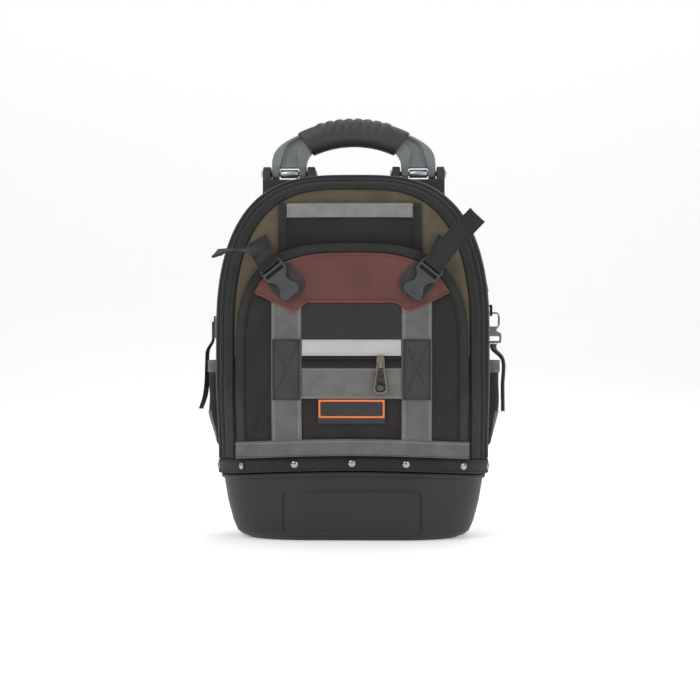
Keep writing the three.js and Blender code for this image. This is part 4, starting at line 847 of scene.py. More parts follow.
def make_tub():
    foot = ring_points(tub_rows[0][1], tub_rows[0][1] * tub_depth_share, tub_height(0.0))
    rings = [foot * [share, share, 1] for share in (0.3, 0.6, 0.9)]
    levels = np.concatenate([np.linspace(0, 9, 14), np.arange(9.7, 76, 1.7)])
    heights = [row[0] for row in tub_rows] + [rim_height - flange_height]
    insets = [row[1] for row in tub_rows] + [tub_neck_inset]
    fine = np.linspace(0, 80, 801)
    soft = np.convolve(np.pad(np.interp(fine, heights, insets), 12, mode="edge"), np.ones(25) / 25, mode="valid")
    for h in levels:
        inset = float(np.interp(h, fine, soft)) if h > 9 else float(np.interp(h, heights, insets))
        ring = ring_points(inset, inset * tub_depth_share, tub_height(h))
        front = np.abs(ring[:, 0]) < panel_half + 14
        lift = np.where(front, panel_lift(ring[:, 0], np.full(len(ring), h)), 0)
        ring[:, 1] += np.sign(ring[:, 1]) * lift
        rings.append(ring)
    flange = [(4.2, -5.6), (2.0, -5.2), (1.3, -4.4), (1.2, -2.6), (1.3, -1.1), (2.0, -0.3), (3.2, 0.0), (14, 0.0)]
    for inset, down in flange:
        rings.append(ring_points(inset, inset, tub_height(rim_height + down)))
    grid = np.array(rings)
    faces = [f[::-1] for f in grid_faces(grid.shape[0], grid.shape[1], wrap=True)]
    columns = grid.shape[1]
    faces.append(tuple(range(columns)))
    piece = mesh_of("tub", grid.reshape(-1, 3), [f[::-1] for f in faces])
    finish(piece, tub_plastic, "moulded_base", "bag", "base_tub")


def rim_line(down, offset, foot=rim_lap, height=rim_strip):
    """A closed line round the webbing of the rim, down from 0 at its top to 1 at its foot."""
    ring = ring_points(0, 0, lambda x: rim_top(x) + mix(height, foot, down), offset)
    plan = ring - ring * [0, 0, 1]
    ahead = np.roll(plan, -1, axis=0) - np.roll(plan, 1, axis=0)
    out = np.stack([ahead[:, 1], -ahead[:, 0], 0 * ahead[:, 0]], -1)
    out /= np.linalg.norm(out, axis=1)[:, None]
    return ring, out


def make_rim():
    profile = [(1.0, 0.9), (0.99, 2.1), (0.95, 2.6), (0.6, 2.7), (0.3, 2.7), (0.05, 2.6), (0.01, 2.1), (0.0, 0.9)]
    lines = [rim_line(down, offset)[0] for down, offset in profile]
    grid = np.array(lines).transpose(1, 0, 2)
    grid = np.concatenate([grid, grid[:1]])
    finish(grid_mesh("rim_webbing", grid, flip=True), black_webbing, "black_webbing", "bag", "rim_strip")
    rows = []
    for down in (0.14, 0.86):
        ring, out = rim_line(down, 2.8)
        rows.append((np.concatenate([ring, ring[:1]]), np.concatenate([out, out[:1]])))
    stitches("rim_stitches", rows)
    ring, out = rim_line(0.47, 2.7)
    front = ring[:, 1] < 0
    spots = []
    for x in (-141, -70, 0, 70, 141):
        spots.append(int(np.argmin(np.abs(ring[:, 0] - x) + 1000 * ~front)))
    for x in (-141, -70, 70, 141):
        spots.append(int(np.argmin(np.abs(ring[:, 0] - x) + 1000 * front)))
    for side in (-1, 1):
        for y in (-38, 38):
            spots.append(int(np.argmin(np.abs(ring[:, 1] - y) + 1000 * (ring[:, 0] * side < 0))))
    spots = sorted(set(spots))
    line = [(ring[spots], out[spots])]
    row_of("rim_washers", line, "dome", black_metal, 1, (11.4, 11.4, 1.6), "satin_nickel", "bag", False)
    row_of("rim_rivets", line, "dome", rivet_nickel, 1, (9.6, 9.6, 4.4), "satin_nickel", "bag", False)


# Body


def shell_lift(points):
    """Soft unevenness of the body's cloth, where nothing is sewn on it."""
    x, y, z = points[..., 0], points[..., 1], points[..., 2]
    calm = 1 - smooth(40, 60, np.abs(y))
    waves_side = 0.8 * ripple(y, z, 70, 5) * (1 - smooth(260, 330, z))
    return calm * (waves_side + 0.5 * ripple(x + y, z, 90, 6)) - 0.6


def make_body():
    path = arch_path(150)
    turns = np.linspace(-1, 1, 57)
    flat = skin_point(path, turns, 0)
    grid = skin_point(path, turns, np.minimum(0, shell_lift(flat)))
    shell = thicken(grid_mesh("body_cloth", grid, flip=True), 1.6)
    finish(shell, canvas, "black_canvas", "bag", "body_shell")


def strip_on_skin(name, path, low, high, foot_lift, top_lift, material, slot, crown=0.0, columns=11, nodes=()):
    """A sewn band on the body between two turns, with rounded edges and a crown."""
    share = np.linspace(0, 1, columns)
    rise = top_lift - foot_lift
    lift = foot_lift + rise * np.minimum(1, np.minimum(share, 1 - share) / 0.07 * 0.9 + 0.1)
    lift = lift + crown * np.sin(np.pi * share)
    turns = mix(low, high, share)
    turns = np.concatenate([[low], turns, [high]])
    lift = np.concatenate([[foot_lift - 0.8], lift, [foot_lift - 0.8]])
    grid = skin_point(path, turns, lift[None, :])
    piece = grid_mesh(name, grid, flip=True)
    return finish(piece, material, slot, "bag", *nodes)


def skin_line(path, turn, lift):
    """A line along the body at one turn, with its outward directions."""
    points = skin_point(path, [turn - 0.01, turn, turn + 0.01], lift)
    ahead = np.gradient(points[:, 1], axis=0)
    across = points[:, 2] - points[:, 0]
    out = np.cross(across, ahead)
    out /= np.linalg.norm(out, axis=1)[:, None]
    if out[len(out) // 2, 2] < 0:
        out = -out
    return points[:, 1], out


def zip_coil(name, path, turn, lift, width, spread, body="bag"):
    """Both coils of a nylon zip: fat round turns side by side, drawn 2 mm apart so that they show."""
    lines = [skin_line(path, turn + side * spread, lift) for side in (-1, 1)]
    row_of(name, lines, "ball", coil_nylon, 2.5, (2.0, width, 2.2), "black_webbing", body)


def make_front_zip():
    foot = (rim_strip + 2 * rim_lap - gap) / (arch_spring - rim_height - gap)
    path = arch_path(240, foot)
    strip_on_skin(
        "front_zip_tape", path, -0.985, -0.43, 0.3, 0.9, zip_tape, "black_webbing", 0, 31, ["front_zip_band"]
    )
    strip_on_skin("front_outer_binding", path, -0.445, -0.6, 0.9, 2.2, binding_tape, "black_webbing", 0.5)
    strip_on_skin("front_piping", path, -0.612, -0.645, 0.4, 1.5, black_webbing, "black_webbing", 1.3, 9)
    strip_on_skin("front_inner_binding", path, -0.9, -0.985, 0.8, 2.0, binding_tape, "black_webbing", 0.4)
    zip_coil("front_zip_coil", path, -0.735, 1.2, 3.4, 0.021)
    light = [skin_line(path, -0.462, 2.5)]
    stitches("front_edge_stitches", light, grey_thread, pitch=3.4)
    dark = [skin_line(path, turn, lift) for turn, lift in ((-0.585, 2.6), (-0.915, 2.3))]
    stitches("front_tape_stitches", dark)


def rear_path():
    """Stations of the rear zip: the arch and the legs above the square corners."""
    side, share, angle = arch_path(220, (square_height + 5 - rim_height) / (arch_spring - rim_height))
    return side, share, angle


def make_rear_zip():
    path = rear_path()
    low, high = 0.245, 0.405
    strip_on_skin("rear_zip_tape", path, low, high, 0.9, 1.5, zip_tape, "black_webbing", 0, 15, ["rear_zip_band"])
    strip_on_skin("rear_binding_front", path, low, 0.285, 1.4, 2.5, binding_tape, "black_webbing", 0.2)
    strip_on_skin("rear_binding_back", path, 0.362, high, 1.4, 2.5, binding_tape, "black_webbing", 0.2)
    zip_coil("rear_zip_coil", path, 0.325, 1.9, 3.2, 0.0108)
    stitches("rear_stitches", [skin_line(path, turn, 2.7) for turn in (0.278, 0.369)])


def arch_rows(top, count):
    """Heights from the foot to an arch's top, closer together near it."""
    turn = np.linspace(0, math.pi / 2, count)
    return mix(arch_spring, top, np.sin(turn))


def make_panels():
    """The khaki door at the front and the cloth of the back."""
    top = body_top - edge_top_share * edge_corner[0] - 0.5
    levels = np.concatenate([np.linspace(rim_height + rim_arch + 4, arch_spring, 60)[:-1], arch_rows(top, 70)])
    share = np.linspace(-1, 1, 70)
    for name, side, material, slot, node in (
        ("door_cloth", -1, khaki, "khaki_canvas", "door_panel"),
        ("back_cloth", 1, canvas, "black_canvas", "back_panel"),
    ):
        z = np.repeat(levels[:, None], len(share), 1)
        x = share[None, :] * (door_edge_x(z) - 0.4)
        foot = body_foot(x) + 0.5
        z = np.where(z < arch_spring, mix(foot, arch_spring, (z - levels[0]) / (arch_spring - levels[0])), z)
        soft = 0.7 * ripple(x, z, 75, 8 + side) * (1 - np.abs(share[None, :]) ** 6)
        y = side * (face_y(x, z) + soft - 0.4)
        grid = np.stack([x, y, z], -1)
        piece = grid_mesh(name, grid, flip=side > 0)
        piece.data.materials.append(material)
        piece.data.materials.append(canvas)
        # The khaki ends where the pocket's shoulders meet the zip, and black cloth goes on below.
        for polygon in piece.data.polygons:
            polygon.material_index = int(polygon.center.z < 232 * MM)
        finish(piece, material, slot, "bag", node)


# Slip pocket


def pocket_half(z):
    up = np.clip((z - pocket_spring) / (pocket_top - pocket_spring), 0, 1)
    return half_pocket * (1 - up**pocket_top_power) ** (1 / pocket_side_power)


def make_pocket():
    turn = np.linspace(0, math.pi / 2, 44)
    levels = np.concatenate([np.linspace(0, 1, 44)[:-1], 1 + np.sin(turn)])
    share = np.sin(np.linspace(-math.pi / 2, math.pi / 2, 110))
    rows = []
    for level in levels:
        if level < 1:
            x = share * half_pocket
            z = mix(pocket_foot(x), pocket_spring, level)
        else:
            height = mix(pocket_spring, pocket_top - 0.05, level - 1)
            x = share * pocket_half(height)
            z = np.full_like(x, height)
        rows.append(np.stack([x, -(pocket_y(x, z) - 0.6), z], -1))
    cloth = thicken(grid_mesh("pocket_cloth", np.array(rows)), 1.5)
    finish(cloth, canvas, "black_canvas", "bag", "pocket_shell")
    # The gusset joins the pocket's edge to the door.
    edge = edge_line(260, 1.0)
    x, z = edge[:, 0], edge[:, 1]
    grid = np.stack([
        np.stack([x, -(mix(face_y(x, z) + 0.2, pocket_y(x, z) - 1.0, t)), z], -1) for t in (0, 0.35, 0.7, 1)
    ])
    finish(grid_mesh("pocket_gusset", grid, flip=True), canvas, "black_canvas")


def edge_line(count, inset, foot=bottom_webbing + rim_lap):
    """Even steps along the pocket's edge, from its left foot over the arch to its right one, as x and z."""
    a = half_pocket - inset
    turn = np.linspace(math.pi, 0, 901)
    arch_x = a * np.sign(np.cos(turn)) * np.abs(np.cos(turn)) ** (2 / pocket_side_power)
    arch_z = pocket_edge(arch_x, inset)
    leg = np.linspace(pocket_foot(a) + foot, pocket_spring, 40)[:-1]
    x = np.concatenate([np.full(39, -a), arch_x, np.full(39, a)])
    z = np.concatenate([leg, arch_z, leg[::-1]])
    run = np.concatenate([[0], np.cumsum(np.hypot(np.diff(x), np.diff(z)))])
    at = np.linspace(0, run[-1], count)
    return np.stack([np.interp(at, run, x), np.interp(at, run, z)], -1)


def make_binding():
    widths = np.array([0.6, 0.8, 1.4, 3, 5, 6.5, 8, 10, 11.6, 12.2, 12.4])
    lifts = np.array([0.0, 0.9, 1.5, 1.8, 1.9, 1.9, 1.9, 1.8, 1.5, 0.9, 0.0])
    rows = []
    for inset, lift in zip(widths, lifts):
        line = edge_line(420, inset)
        x, z = line[:, 0], line[:, 1]
        rows.append(np.stack([x, -(pocket_y(x, z, False) + lift), z], -1))
    grid = np.array(rows).transpose(1, 0, 2)
    binding = grid_mesh("pocket_edge_binding", grid)
    finish(binding, binding_tape, "black_webbing", "bag", "pocket_binding")
    rows = []
    for inset in (2.2, 11.0):
        line = edge_line(300, inset)
        rows.append(lifted(on_surface(lambda x, z: pocket_y(x, z, False), line[:, 0], line[:, 1]), 1.8))
    stitches("pocket_binding_stitches", rows)


def pocket_panel(name, x, z, top, material, slot, node=None, edge=0.5, thick=1.2):
    """A piece sewn on the pocket: x and z are grids, and top is the lift of its face."""
    y = pocket_y(x, z)
    face = np.stack([x, -(y + top), z], -1)
    piece = thicken(grid_mesh(name, face), thick, 0, edge)
    return finish(piece, material, slot, "bag", *([node] if node else []))


def flat_grid(x0, x1, z0, z1, columns=30, rows=30):
    """A grid over part of the face. z0 and z1 are numbers or functions of x."""
    x = np.repeat(np.linspace(x0, x1, columns)[None, :], rows, 0)
    low = z0(x) if callable(z0) else z0
    high = z1(x) if callable(z1) else z1
    return x, np.broadcast_to(mix(low, high, np.linspace(0, 1, rows)[:, None]), x.shape)


def pocket_line(xs, zs, lift):
    return lifted(on_surface(pocket_y, xs, zs), lift)


def make_pocket_webbing():
    for name, side in (("left", -1), ("right", 1)):
        middle = side * strip_centre
        half = strip_width / 2
        x, z = flat_grid(
            middle - half, middle + half, lambda x: pocket_foot(x) + bottom_webbing - 4, leather_bottom + 6, 16, 90
        )
        pocket_panel("webbing_" + name + "_cloth", x, z, 1.9, grey_webbing, "grey_webbing", "webbing_" + name)
        rows = []
        for inset in (2.2, 4.2):
            for edge in (-1, 1):
                spot = middle + edge * (half - inset)
                xs, zs = straight(spot, 132, spot, leather_bottom - 2)
                rows.append(pocket_line(xs, zs, 2.0))
        stitches("webbing_" + name + "_stitches", rows, pale_thread, "grey_webbing", 3.0)
    low = lambda x: pocket_foot(x) + 0.3
    x, z = flat_grid(-148, 148, low, lambda x: pocket_foot(x) + bottom_webbing, 150, 12)
    piece = np.stack([x, -(pocket_y(x, z) + 2.5), z], -1).transpose(1, 0, 2)
    strap = thicken(grid_mesh("bottom_webbing_cloth", piece, flip=True), 1.4, 0, 0.4)
    finish(strap, grey_webbing, "grey_webbing", "bag", "webbing_bottom")
    xs = np.linspace(-145, 145, 120)
    rows = [pocket_line(xs, pocket_foot(xs) + bottom_webbing - inset, 2.7) for inset in (2.4,)]
    stitches("bottom_webbing_stitches", rows, pale_thread, "grey_webbing", 3.2)
    rows = [pocket_line(xs, pocket_foot(xs) + 2.4, 2.7)]
    stitches("bottom_webbing_foot_stitches", rows, black_thread, "grey_webbing", 3.2)


def make_cross_patches():
    """Rubber patches with a raised border and a boxed cross of stitches."""
    width, height = cross_patch
    for name, side in (("left", -1), ("right", 1)):
        middle = side * strip_centre
        x, z = flat_grid(
            middle - width / 2, middle + width / 2, cross_patch_top - height, cross_patch_top, 46, 80
        )
        border = np.minimum(width / 2 - np.abs(x - middle), np.minimum(z - z.min(), z.max() - z))
        rise = 0.5 * smooth(0, 3, border) - 0.5 * bump(2.0, 1.0, border) + 0.2 * ripple(x, z, 14, 4) * (border > 4)
        y = pocket_y(x, z)
        grid = np.stack([x, -(y + 3.2 + rise), z], -1)
        patch = thicken(grid_mesh("cross_patch_" + name + "_rubber", grid), 1.2, 0, 0.5)
        finish(patch, patch_rubber, "moulded_rubber", "bag", "cross_patch_" + name)
        left, right = middle - width / 2 + 2.1, middle + width / 2 - 2.1
        low, high = cross_patch_top - height + 2.1, cross_patch_top - 2.1
        sides = [
            (left, low, right, low), (right, low, right, high), (right, high, left, high), (left, high, left, low),
            (left, low, right, high), (right, low, left, high),
        ]
        rows = [pocket_line(*straight(*ends), 3.95) for ends in sides]
        stitches("cross_patch_" + name + "_stitches", rows, black_thread, "moulded_rubber", 3.0)


def leather_edge(x):
    """Height of the leather's cut lower edge."""
    d = np.abs(x)
    peak = leather_bottom - leather_peak_drop
    end = half_pocket - binding_width - 6
    line = np.interp(
        d,
        [0, leather_notch_x - 3, leather_notch_x + 2, leather_peak_x - 3, leather_peak_x + 3, end],
        [
            leather_bottom, leather_bottom, leather_bottom - 2.2, peak + 1.2, peak + 1.0,
            leather_bottom + leather_end_rise,
        ],
    )
    return line + 0.35 * ripple(x, 0 * x, 22, 7)


def leather_grid(inner=binding_width + 0.2):
    end = leather_end_x() + 1.5
    share = np.sin(np.linspace(-math.pi / 2, math.pi / 2, 170))
    x = np.repeat((share * end)[None, :], 33, 0)
    low = leather_edge(x)
    high = np.maximum(pocket_edge(x, inner), low + 1.5)
    spread = np.concatenate([[0, 0.014, 0.026], np.linspace(0.045, 1, 30)])
    return x, mix(low, high, spread[:, None])


def make_leather():
    x, z = leather_grid()
    hide = 0.22 * ripple(x, z, 26, 12) + 0.12 * ripple(x, z, 9, 13)
    lip = -0.45 * np.exp(-((z - leather_edge(x) - 3.4) ** 2) / 1.2)
    grid = np.stack([x, -(pocket_y(x, z) + 4.0 + hide + lip), z], -1)
    columns = grid.shape[1]
    piece = grid_mesh("leather_hide", grid)
    piece.data.materials.append(waxed_leather)
    piece.data.materials.append(raw_edge)
    # The lowest row of faces is the cut edge, where the undyed hide shows.
    for polygon in piece.data.polygons:
        polygon.material_index = int(polygon.index < columns - 1)
    thicken(piece, 1.9, 1)
    finish(piece, waxed_leather, "brown_leather", "bag", "leather_panel")
    xs = np.linspace(-leather_end_x(), leather_end_x(), 190)
    foot = [pocket_line(xs, leather_edge(xs) + 3.5, 3.95)]
    stitches("leather_foot_stitches", foot, brown_thread, "brown_leather", 3.0)
    edge = edge_line(260, binding_width + 3.6, 190)
    keep = edge[:, 1] > leather_bottom + 22
    stitches(
        "leather_top_stitches", [pocket_line(edge[keep, 0], edge[keep, 1], 4.1)], brown_thread, "brown_leather", 3.0
    )


def leather_end_x():
    return half_pocket - binding_width - 13.5


def make_centre_panels():
    """The patch, tape, zip and grey panel between the upright webbings."""
    half = 61.6
    ribbed_top = zip_top - zip_height
    rows = (
        (
            "name_ribbon", zip_top + reflective_height, leather_bottom + 3, 1.8, satin_ribbon,
            "moulded_rubber", "name_patch",
        ),
        (
            "reflective_face", zip_top, zip_top + reflective_height - 0.2, 1.7, reflective,
            "silver_tape", "reflective_strip",
        ),
        (
            "grey_face", ribbed_top - ribbed_height + 0.3, ribbed_top - 0.3, 1.9, grey_ribbed,
            "grey_webbing", "ribbed_panel",
        ),
    )
    for name, low, high, lift, material, slot, node in rows:
        x, z = flat_grid(-half, half, low, high, 60, 24)
        pocket_panel(name, x, z, lift, material, slot, node, 0.3)
    # The zip's tape lies lower than the panels beside it, and its coil lies in the middle.
    x, z = flat_grid(-half, half, ribbed_top - 0.6, zip_top + 0.6, 60, 16)
    pocket_panel("pocket_zip_tape", x, z, 0.9, zip_tape, "black_webbing", "zip_chain", 0.2, 0.8)
    middle = zip_top - zip_height * 0.36
    xs = np.linspace(-half + 1, half - 1, 90)
    lines = [pocket_line(xs, np.full_like(xs, middle + up), 1.2) for up in (-1.5, 1.5)]
    row_of("pocket_zip_coil", lines, "ball", coil_nylon, 2.0, (1.5, 3.2, 2.0), "black_webbing")
    x, z = flat_grid(-half, half, ribbed_top - 0.2, ribbed_top + 4.2, 60, 5)
    pocket_panel("pocket_zip_fold", x, z, 1.9, canvas, "black_canvas", None, 0.3)
    levels = (zip_top + 2.4, zip_top + reflective_height - 2.4)
    rows = [pocket_line(xs, np.full_like(xs, level), 1.9) for level in levels]
    stitches("reflective_stitches", rows, pale_thread, "silver_tape")
    levels = (ribbed_top - 2.4, ribbed_top - ribbed_height + 2.6)
    rows = [pocket_line(xs, np.full_like(xs, level), 2.1) for level in levels]
    stitches("grey_face_stitches", rows, pale_thread, "grey_webbing")


def make_label():
    """A rubber label with an orange frame, and the tape under it."""
    low, high = 149.5, 180
    x, z = flat_grid(-label_half, label_half, low, high, 80, 40)
    frame_low = high - label_height - 1.4
    side = label_half - np.abs(x)
    rim = np.minimum(side, np.minimum(z - frame_low, high - z))
    framed = (rim > 0) & (rim < 3.4) & (z > frame_low)
    rise = np.where(z > frame_low, 0.9 * np.exp(-((rim - 1.7) ** 2) / 3.0), 0)
    grid = np.stack([x, -(pocket_y(x, z) + 1.5 + rise), z], -1)
    piece = grid_mesh("rubber_label", grid)
    piece.data.materials.append(label_rubber)
    piece.data.materials.append(orange_rubber)
    rows, columns = x.shape
    middle = framed.reshape(rows, columns)
    for polygon in piece.data.polygons:
        i, j = divmod(polygon.index, columns - 1)
        polygon.material_index = int(middle[i : i + 2, j : j + 2].sum() > 2)
    thicken(piece, 1.0, 0, 0.2)
    finish(piece, label_rubber, "orange_edging", "bag", "label")


# Sleeve


def sleeve_y(x, z):
    up = np.clip((z - sleeve_bottom) / (sleeve_top - sleeve_bottom), 0, 1)
    swell = gap + (sleeve_off - gap) * up * (1 - np.clip(np.abs(x) / sleeve_half, 0, 1) ** 4)
    return face_y(x, z) + swell


def make_sleeve():
    half = sleeve_half
    x, z = flat_grid(-half, half, 330, sleeve_top, 56, 44)
    grid = np.stack([x - sleeve_shift, -(sleeve_y(x, z) + 2.0 + 0.3 * ripple(x, z, 45, 21)), z], -1)
    piece = thicken(grid_mesh("sleeve_cloth", grid), 1.7, 0, 0.5)
    finish(piece, canvas, "black_canvas", "bag", "sleeve_panel")
    inner = half - 10.5
    x, z = flat_grid(-inner, inner, sleeve_top - sleeve_band, sleeve_top - 0.4, 60, 12)
    grid = np.stack([x - sleeve_shift, -(sleeve_y(x, z) + 4.3), z], -1).transpose(1, 0, 2)
    band = thicken(grid_mesh("sleeve_silver_band", grid, flip=True), 1.6, 0, 0.5)
    finish(band, silver_knit, "silver_tape", "bag", "sleeve_band")
    for name, side in (("left", -1), ("right", 1)):
        edges = sorted((side * (half + 0.3), side * inner))
        x, z = flat_grid(edges[0], edges[1], 330, sleeve_top + 0.4, 12, 70)
        crown = 0.8 * np.sin(np.pi * np.clip((np.abs(x) - inner) / (half - inner), 0, 1)) ** 0.5
        grid = np.stack([x - sleeve_shift, -(sleeve_y(x, z) + 2.9 + crown), z], -1)
        tape = thicken(grid_mesh("sleeve_binding_" + name, grid), 2.4, 0, 0.4)
        finish(tape, binding_tape, "black_webbing")
    xs = np.linspace(-inner + 1, inner - 1, 60)
    rows = [
        lifted(on_surface(sleeve_y, xs - sleeve_shift, np.full_like(xs, level)), 4.5)
        for level in (sleeve_top - 2.4, sleeve_top - sleeve_band + 2.2)
    ]
    stitches("sleeve_band_stitches", rows, grey_thread, "silver_tape")
    zs = np.linspace(332, sleeve_top - 1, 40)
    rows = [
        lifted(on_surface(sleeve_y, np.full_like(zs, side * (inner + 1.6) - sleeve_shift), zs), 3.9) for side in (-1, 1)
    ]
    stitches("sleeve_binding_stitches", rows)


# Moulded and metal parts, rounded from their solids


def joined_copy(name, *nodes):
    """One new piece with the meshes of some solids, clean enough to bevel or remesh."""
    work = bmesh.new()
    for node in nodes:
        work.from_mesh(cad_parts[node].data)
    bmesh.ops.remove_doubles(work, verts=work.verts, dist=2e-5)
    mesh = bpy.data.meshes.new(name)
    work.to_mesh(mesh)
    work.free()
    mesh.materials.clear()
    piece = bpy.data.objects.new(name, mesh)
    bpy.context.scene.collection.objects.link(piece)
    return piece


def applied(piece):
    """Turns the modifiers of a piece into its mesh."""
    graph = bpy.context.evaluated_depsgraph_get()
    mesh = bpy.data.meshes.new_from_object(piece.evaluated_get(graph))
    piece.modifiers.clear()
    piece.data = mesh
    mesh.polygons.foreach_set("use_smooth", [True] * len(mesh.polygons))
    return piece


def softened(piece, voxel, rounds=3):
    """Rounds every edge, as a mould does: an even net of faces over the piece, smoothed a little."""
    net = piece.modifiers.new("net", "REMESH")
    net.mode = "VOXEL"
    net.voxel_size = voxel * MM
    round_off = piece.modifiers.new("round", "SMOOTH")
    round_off.factor = 0.5
    round_off.iterations = rounds
    return applied(piece)


def moulded(name, node, voxel, material, slot, body="bag", rounds=3):
    return finish(softened(joined_copy(name, node), voxel, rounds), material, slot, body, node)


def solid_of(name, outline, depth, place):
    """A plate from an outline of (across, up) points, mapped by place(across, up, off)."""
    points = [place(a, u, 0) for a, u in outline] + [place(a, u, depth) for a, u in outline]
    count = len(outline)
    faces = [tuple(range(count))[::-1], tuple(range(count, 2 * count))]
    faces += [(i, (i + 1) % count, (i + 1) % count + count, i + count) for i in range(count)]
    piece = mesh_of(name, points, faces)
    outward(piece)
    return piece


def tube_along(name, line, radius, sides=12, closed=False):
    """A round bar along a line of points."""
    line = np.asarray(line, float)
    if closed:
        ahead = np.roll(line, -1, axis=0) - np.roll(line, 1, axis=0)
    else:
        ahead = np.gradient(line, axis=0)
    ahead /= np.linalg.norm(ahead, axis=1)[:, None]
    side = np.cross(ahead, [0.31, 0.52, 0.8])
    side /= np.linalg.norm(side, axis=1)[:, None]
    other = np.cross(ahead, side)
    turn = np.linspace(0, math.tau, sides, endpoint=False)
    radius = np.broadcast_to(np.asarray(radius, float), (len(line),))[:, None, None]
    rings = line[:, None] + radius * (
        np.cos(turn)[None, :, None] * side[:, None] + np.sin(turn)[None, :, None] * other[:, None]
    )
    if closed:
        rings = np.concatenate([rings, rings[:1]])
    rows, columns = rings.shape[:2]
    faces = list(grid_faces(rows, columns, wrap=True))
    if not closed:
        faces += [tuple(range(columns))[::-1], tuple((rows - 1) * columns + j for j in range(columns))]
    piece = mesh_of(name, rings.reshape(-1, 3), faces)
    outward(piece)
    return piece


# Handle


def grip_place(degrees, radius):
    centre = grip_top - grip_radius - grip_high / 2
    angle = math.radians(degrees)
    return radius * math.sin(angle), centre + radius * math.cos(angle)


def bezier(p0, p1, p2, p3, count=24):
    t = np.linspace(0, 1, count)[:, None]
    p0, p1, p2, p3 = (np.array(p, float) for p in (p0, p1, p2, p3))
    return (1 - t) ** 3 * p0 + 3 * (1 - t) ** 2 * t * p1 + 3 * (1 - t) * t**2 * p2 + t**3 * p3


def arm_outline():
    """The right arm's outline as (x, z), from its outer foot over the shoulder to its inner foot."""
    end = grip_half_angle + 0.25
    inner = arm_outer - arm_width
    foot = pivot_z - leg_below
    out = grip_place(end, grip_radius + grip_high / 2 - 3.5)
    into = grip_place(end, grip_radius - grip_high / 2 + 3)
    bend = (mix(arm_outer, out[0], 0.35), mix(pivot_z, out[1], 0.78))
    outer = bezier((arm_outer, pivot_z + 12), (arm_outer, pivot_z + 32), bend, out)
    low = np.array((inner, mix(pivot_z, into[1], 0.75)))
    start, stop = np.array(into), np.array((inner, pivot_z + 8))
    under = bezier(start, start + (low - start) * 2 / 3, stop + (low - stop) * 2 / 3, stop)
    tuck = grip_place(end - 3, grip_radius + 8), grip_place(end - 3, grip_radius - 8)
    points = [(arm_outer, foot), *outer, *tuck, *under, (inner, foot)]
    return np.array(points)


def boolean(piece, other, operation="DIFFERENCE"):
    cut = piece.modifiers.new("cut", "BOOLEAN")
    cut.operation = operation
    cut.object = other
    cut.solver = "EXACT"
    applied(piece)
    bpy.data.objects.remove(other)
    return piece


def upright_plate(name, outline, y0, y1):
    return solid_of(name, outline, y1 - y0, lambda a, u, off: (a, y0 + off, u))


def inset_outline(outline, distance):
    """A closed outline moved inwards. Its points run anticlockwise or clockwise."""
    outline = np.asarray(outline, float)
    ahead = np.roll(outline, -1, axis=0) - np.roll(outline, 1, axis=0)
    normal = np.stack([-ahead[:, 1], ahead[:, 0]], -1)
    normal /= np.maximum(1e-9, np.linalg.norm(normal, axis=1))[:, None]
    area = 0.5 * np.sum(outline[:, 0] * np.roll(outline[:, 1], -1) - np.roll(outline[:, 0], -1) * outline[:, 1])
    return outline + normal * distance * np.sign(area)


def make_arm(side, name):
    """One arm: a curved limb with a raised rim round a sunk field, forked over the pivot sleeve."""
    outline = arm_outline() * [side, 1]
    arm = upright_plate("handle_arm_" + name, outline, -arm_thick / 2, arm_thick / 2)
    middle = side * (arm_outer - arm_width / 2)
    fork_half = arm_width / 2 - leg_width
    top = pivot_z + sleeve_radius + 1.8
    fork = [
        (middle - fork_half, pivot_z - 20), (middle + fork_half, pivot_z - 20),
        (middle + fork_half, top), (middle - fork_half, top),
    ]
    boolean(arm, upright_plate("fork", fork, -arm_thick, arm_thick))
    # The sunk field opens down into the fork and narrows towards the grip.
    field = [(-fork_half + 1, top - 1), (-fork_half + 1, top + 6), (-10, top + 22), (-18, top + 32), (-25, top + 38)]
    field += [(-22, top + 43), (-12, top + 39), (2, top + 30), (fork_half - 5, top + 14), (fork_half - 1, top - 1)]
    field = [(middle + side * a, u) for a, u in field]
    smooth_field = curve_through([(a, 0, u) for a, u in field], 48)[:, [0, 2]]
    for face in (-1, 1):
        low, high = sorted((face * (arm_thick / 2 - 4), face * (arm_thick / 2 + 2)))
        boolean(arm, upright_plate("field", smooth_field, low, high))
        step = smooth_field.mean(0) + (smooth_field - smooth_field.mean(0)) * [0.72, 0.84]
        low, high = sorted((face * (arm_thick / 2 - 6), face * (arm_thick / 2 - 3)))
        boolean(arm, upright_plate("field", step, low, high))
    # From the side the legs narrow to round ends about the pivot.
    turn = np.linspace(math.pi, math.tau, 20)
    half = arm_thick / 2
    profile = [(-half - 3, grip_top), (-half - 3, pivot_z + 24), (-half, pivot_z + 9), (-leg_below, pivot_z)]
    profile += [(leg_below * math.cos(t), pivot_z + leg_below * math.sin(t)) for t in turn[1:]]
    profile += [(half, pivot_z + 9), (half + 3, pivot_z + 24), (half + 3, grip_top)]
    around = solid_of("side", profile, 140 * side, lambda a, u, off: (off, a, u))
    boolean(arm, around, "INTERSECT")
    softened(arm, 1.0, 4)
    return finish(arm, handle_plastic, "handle_plastic", "handle")


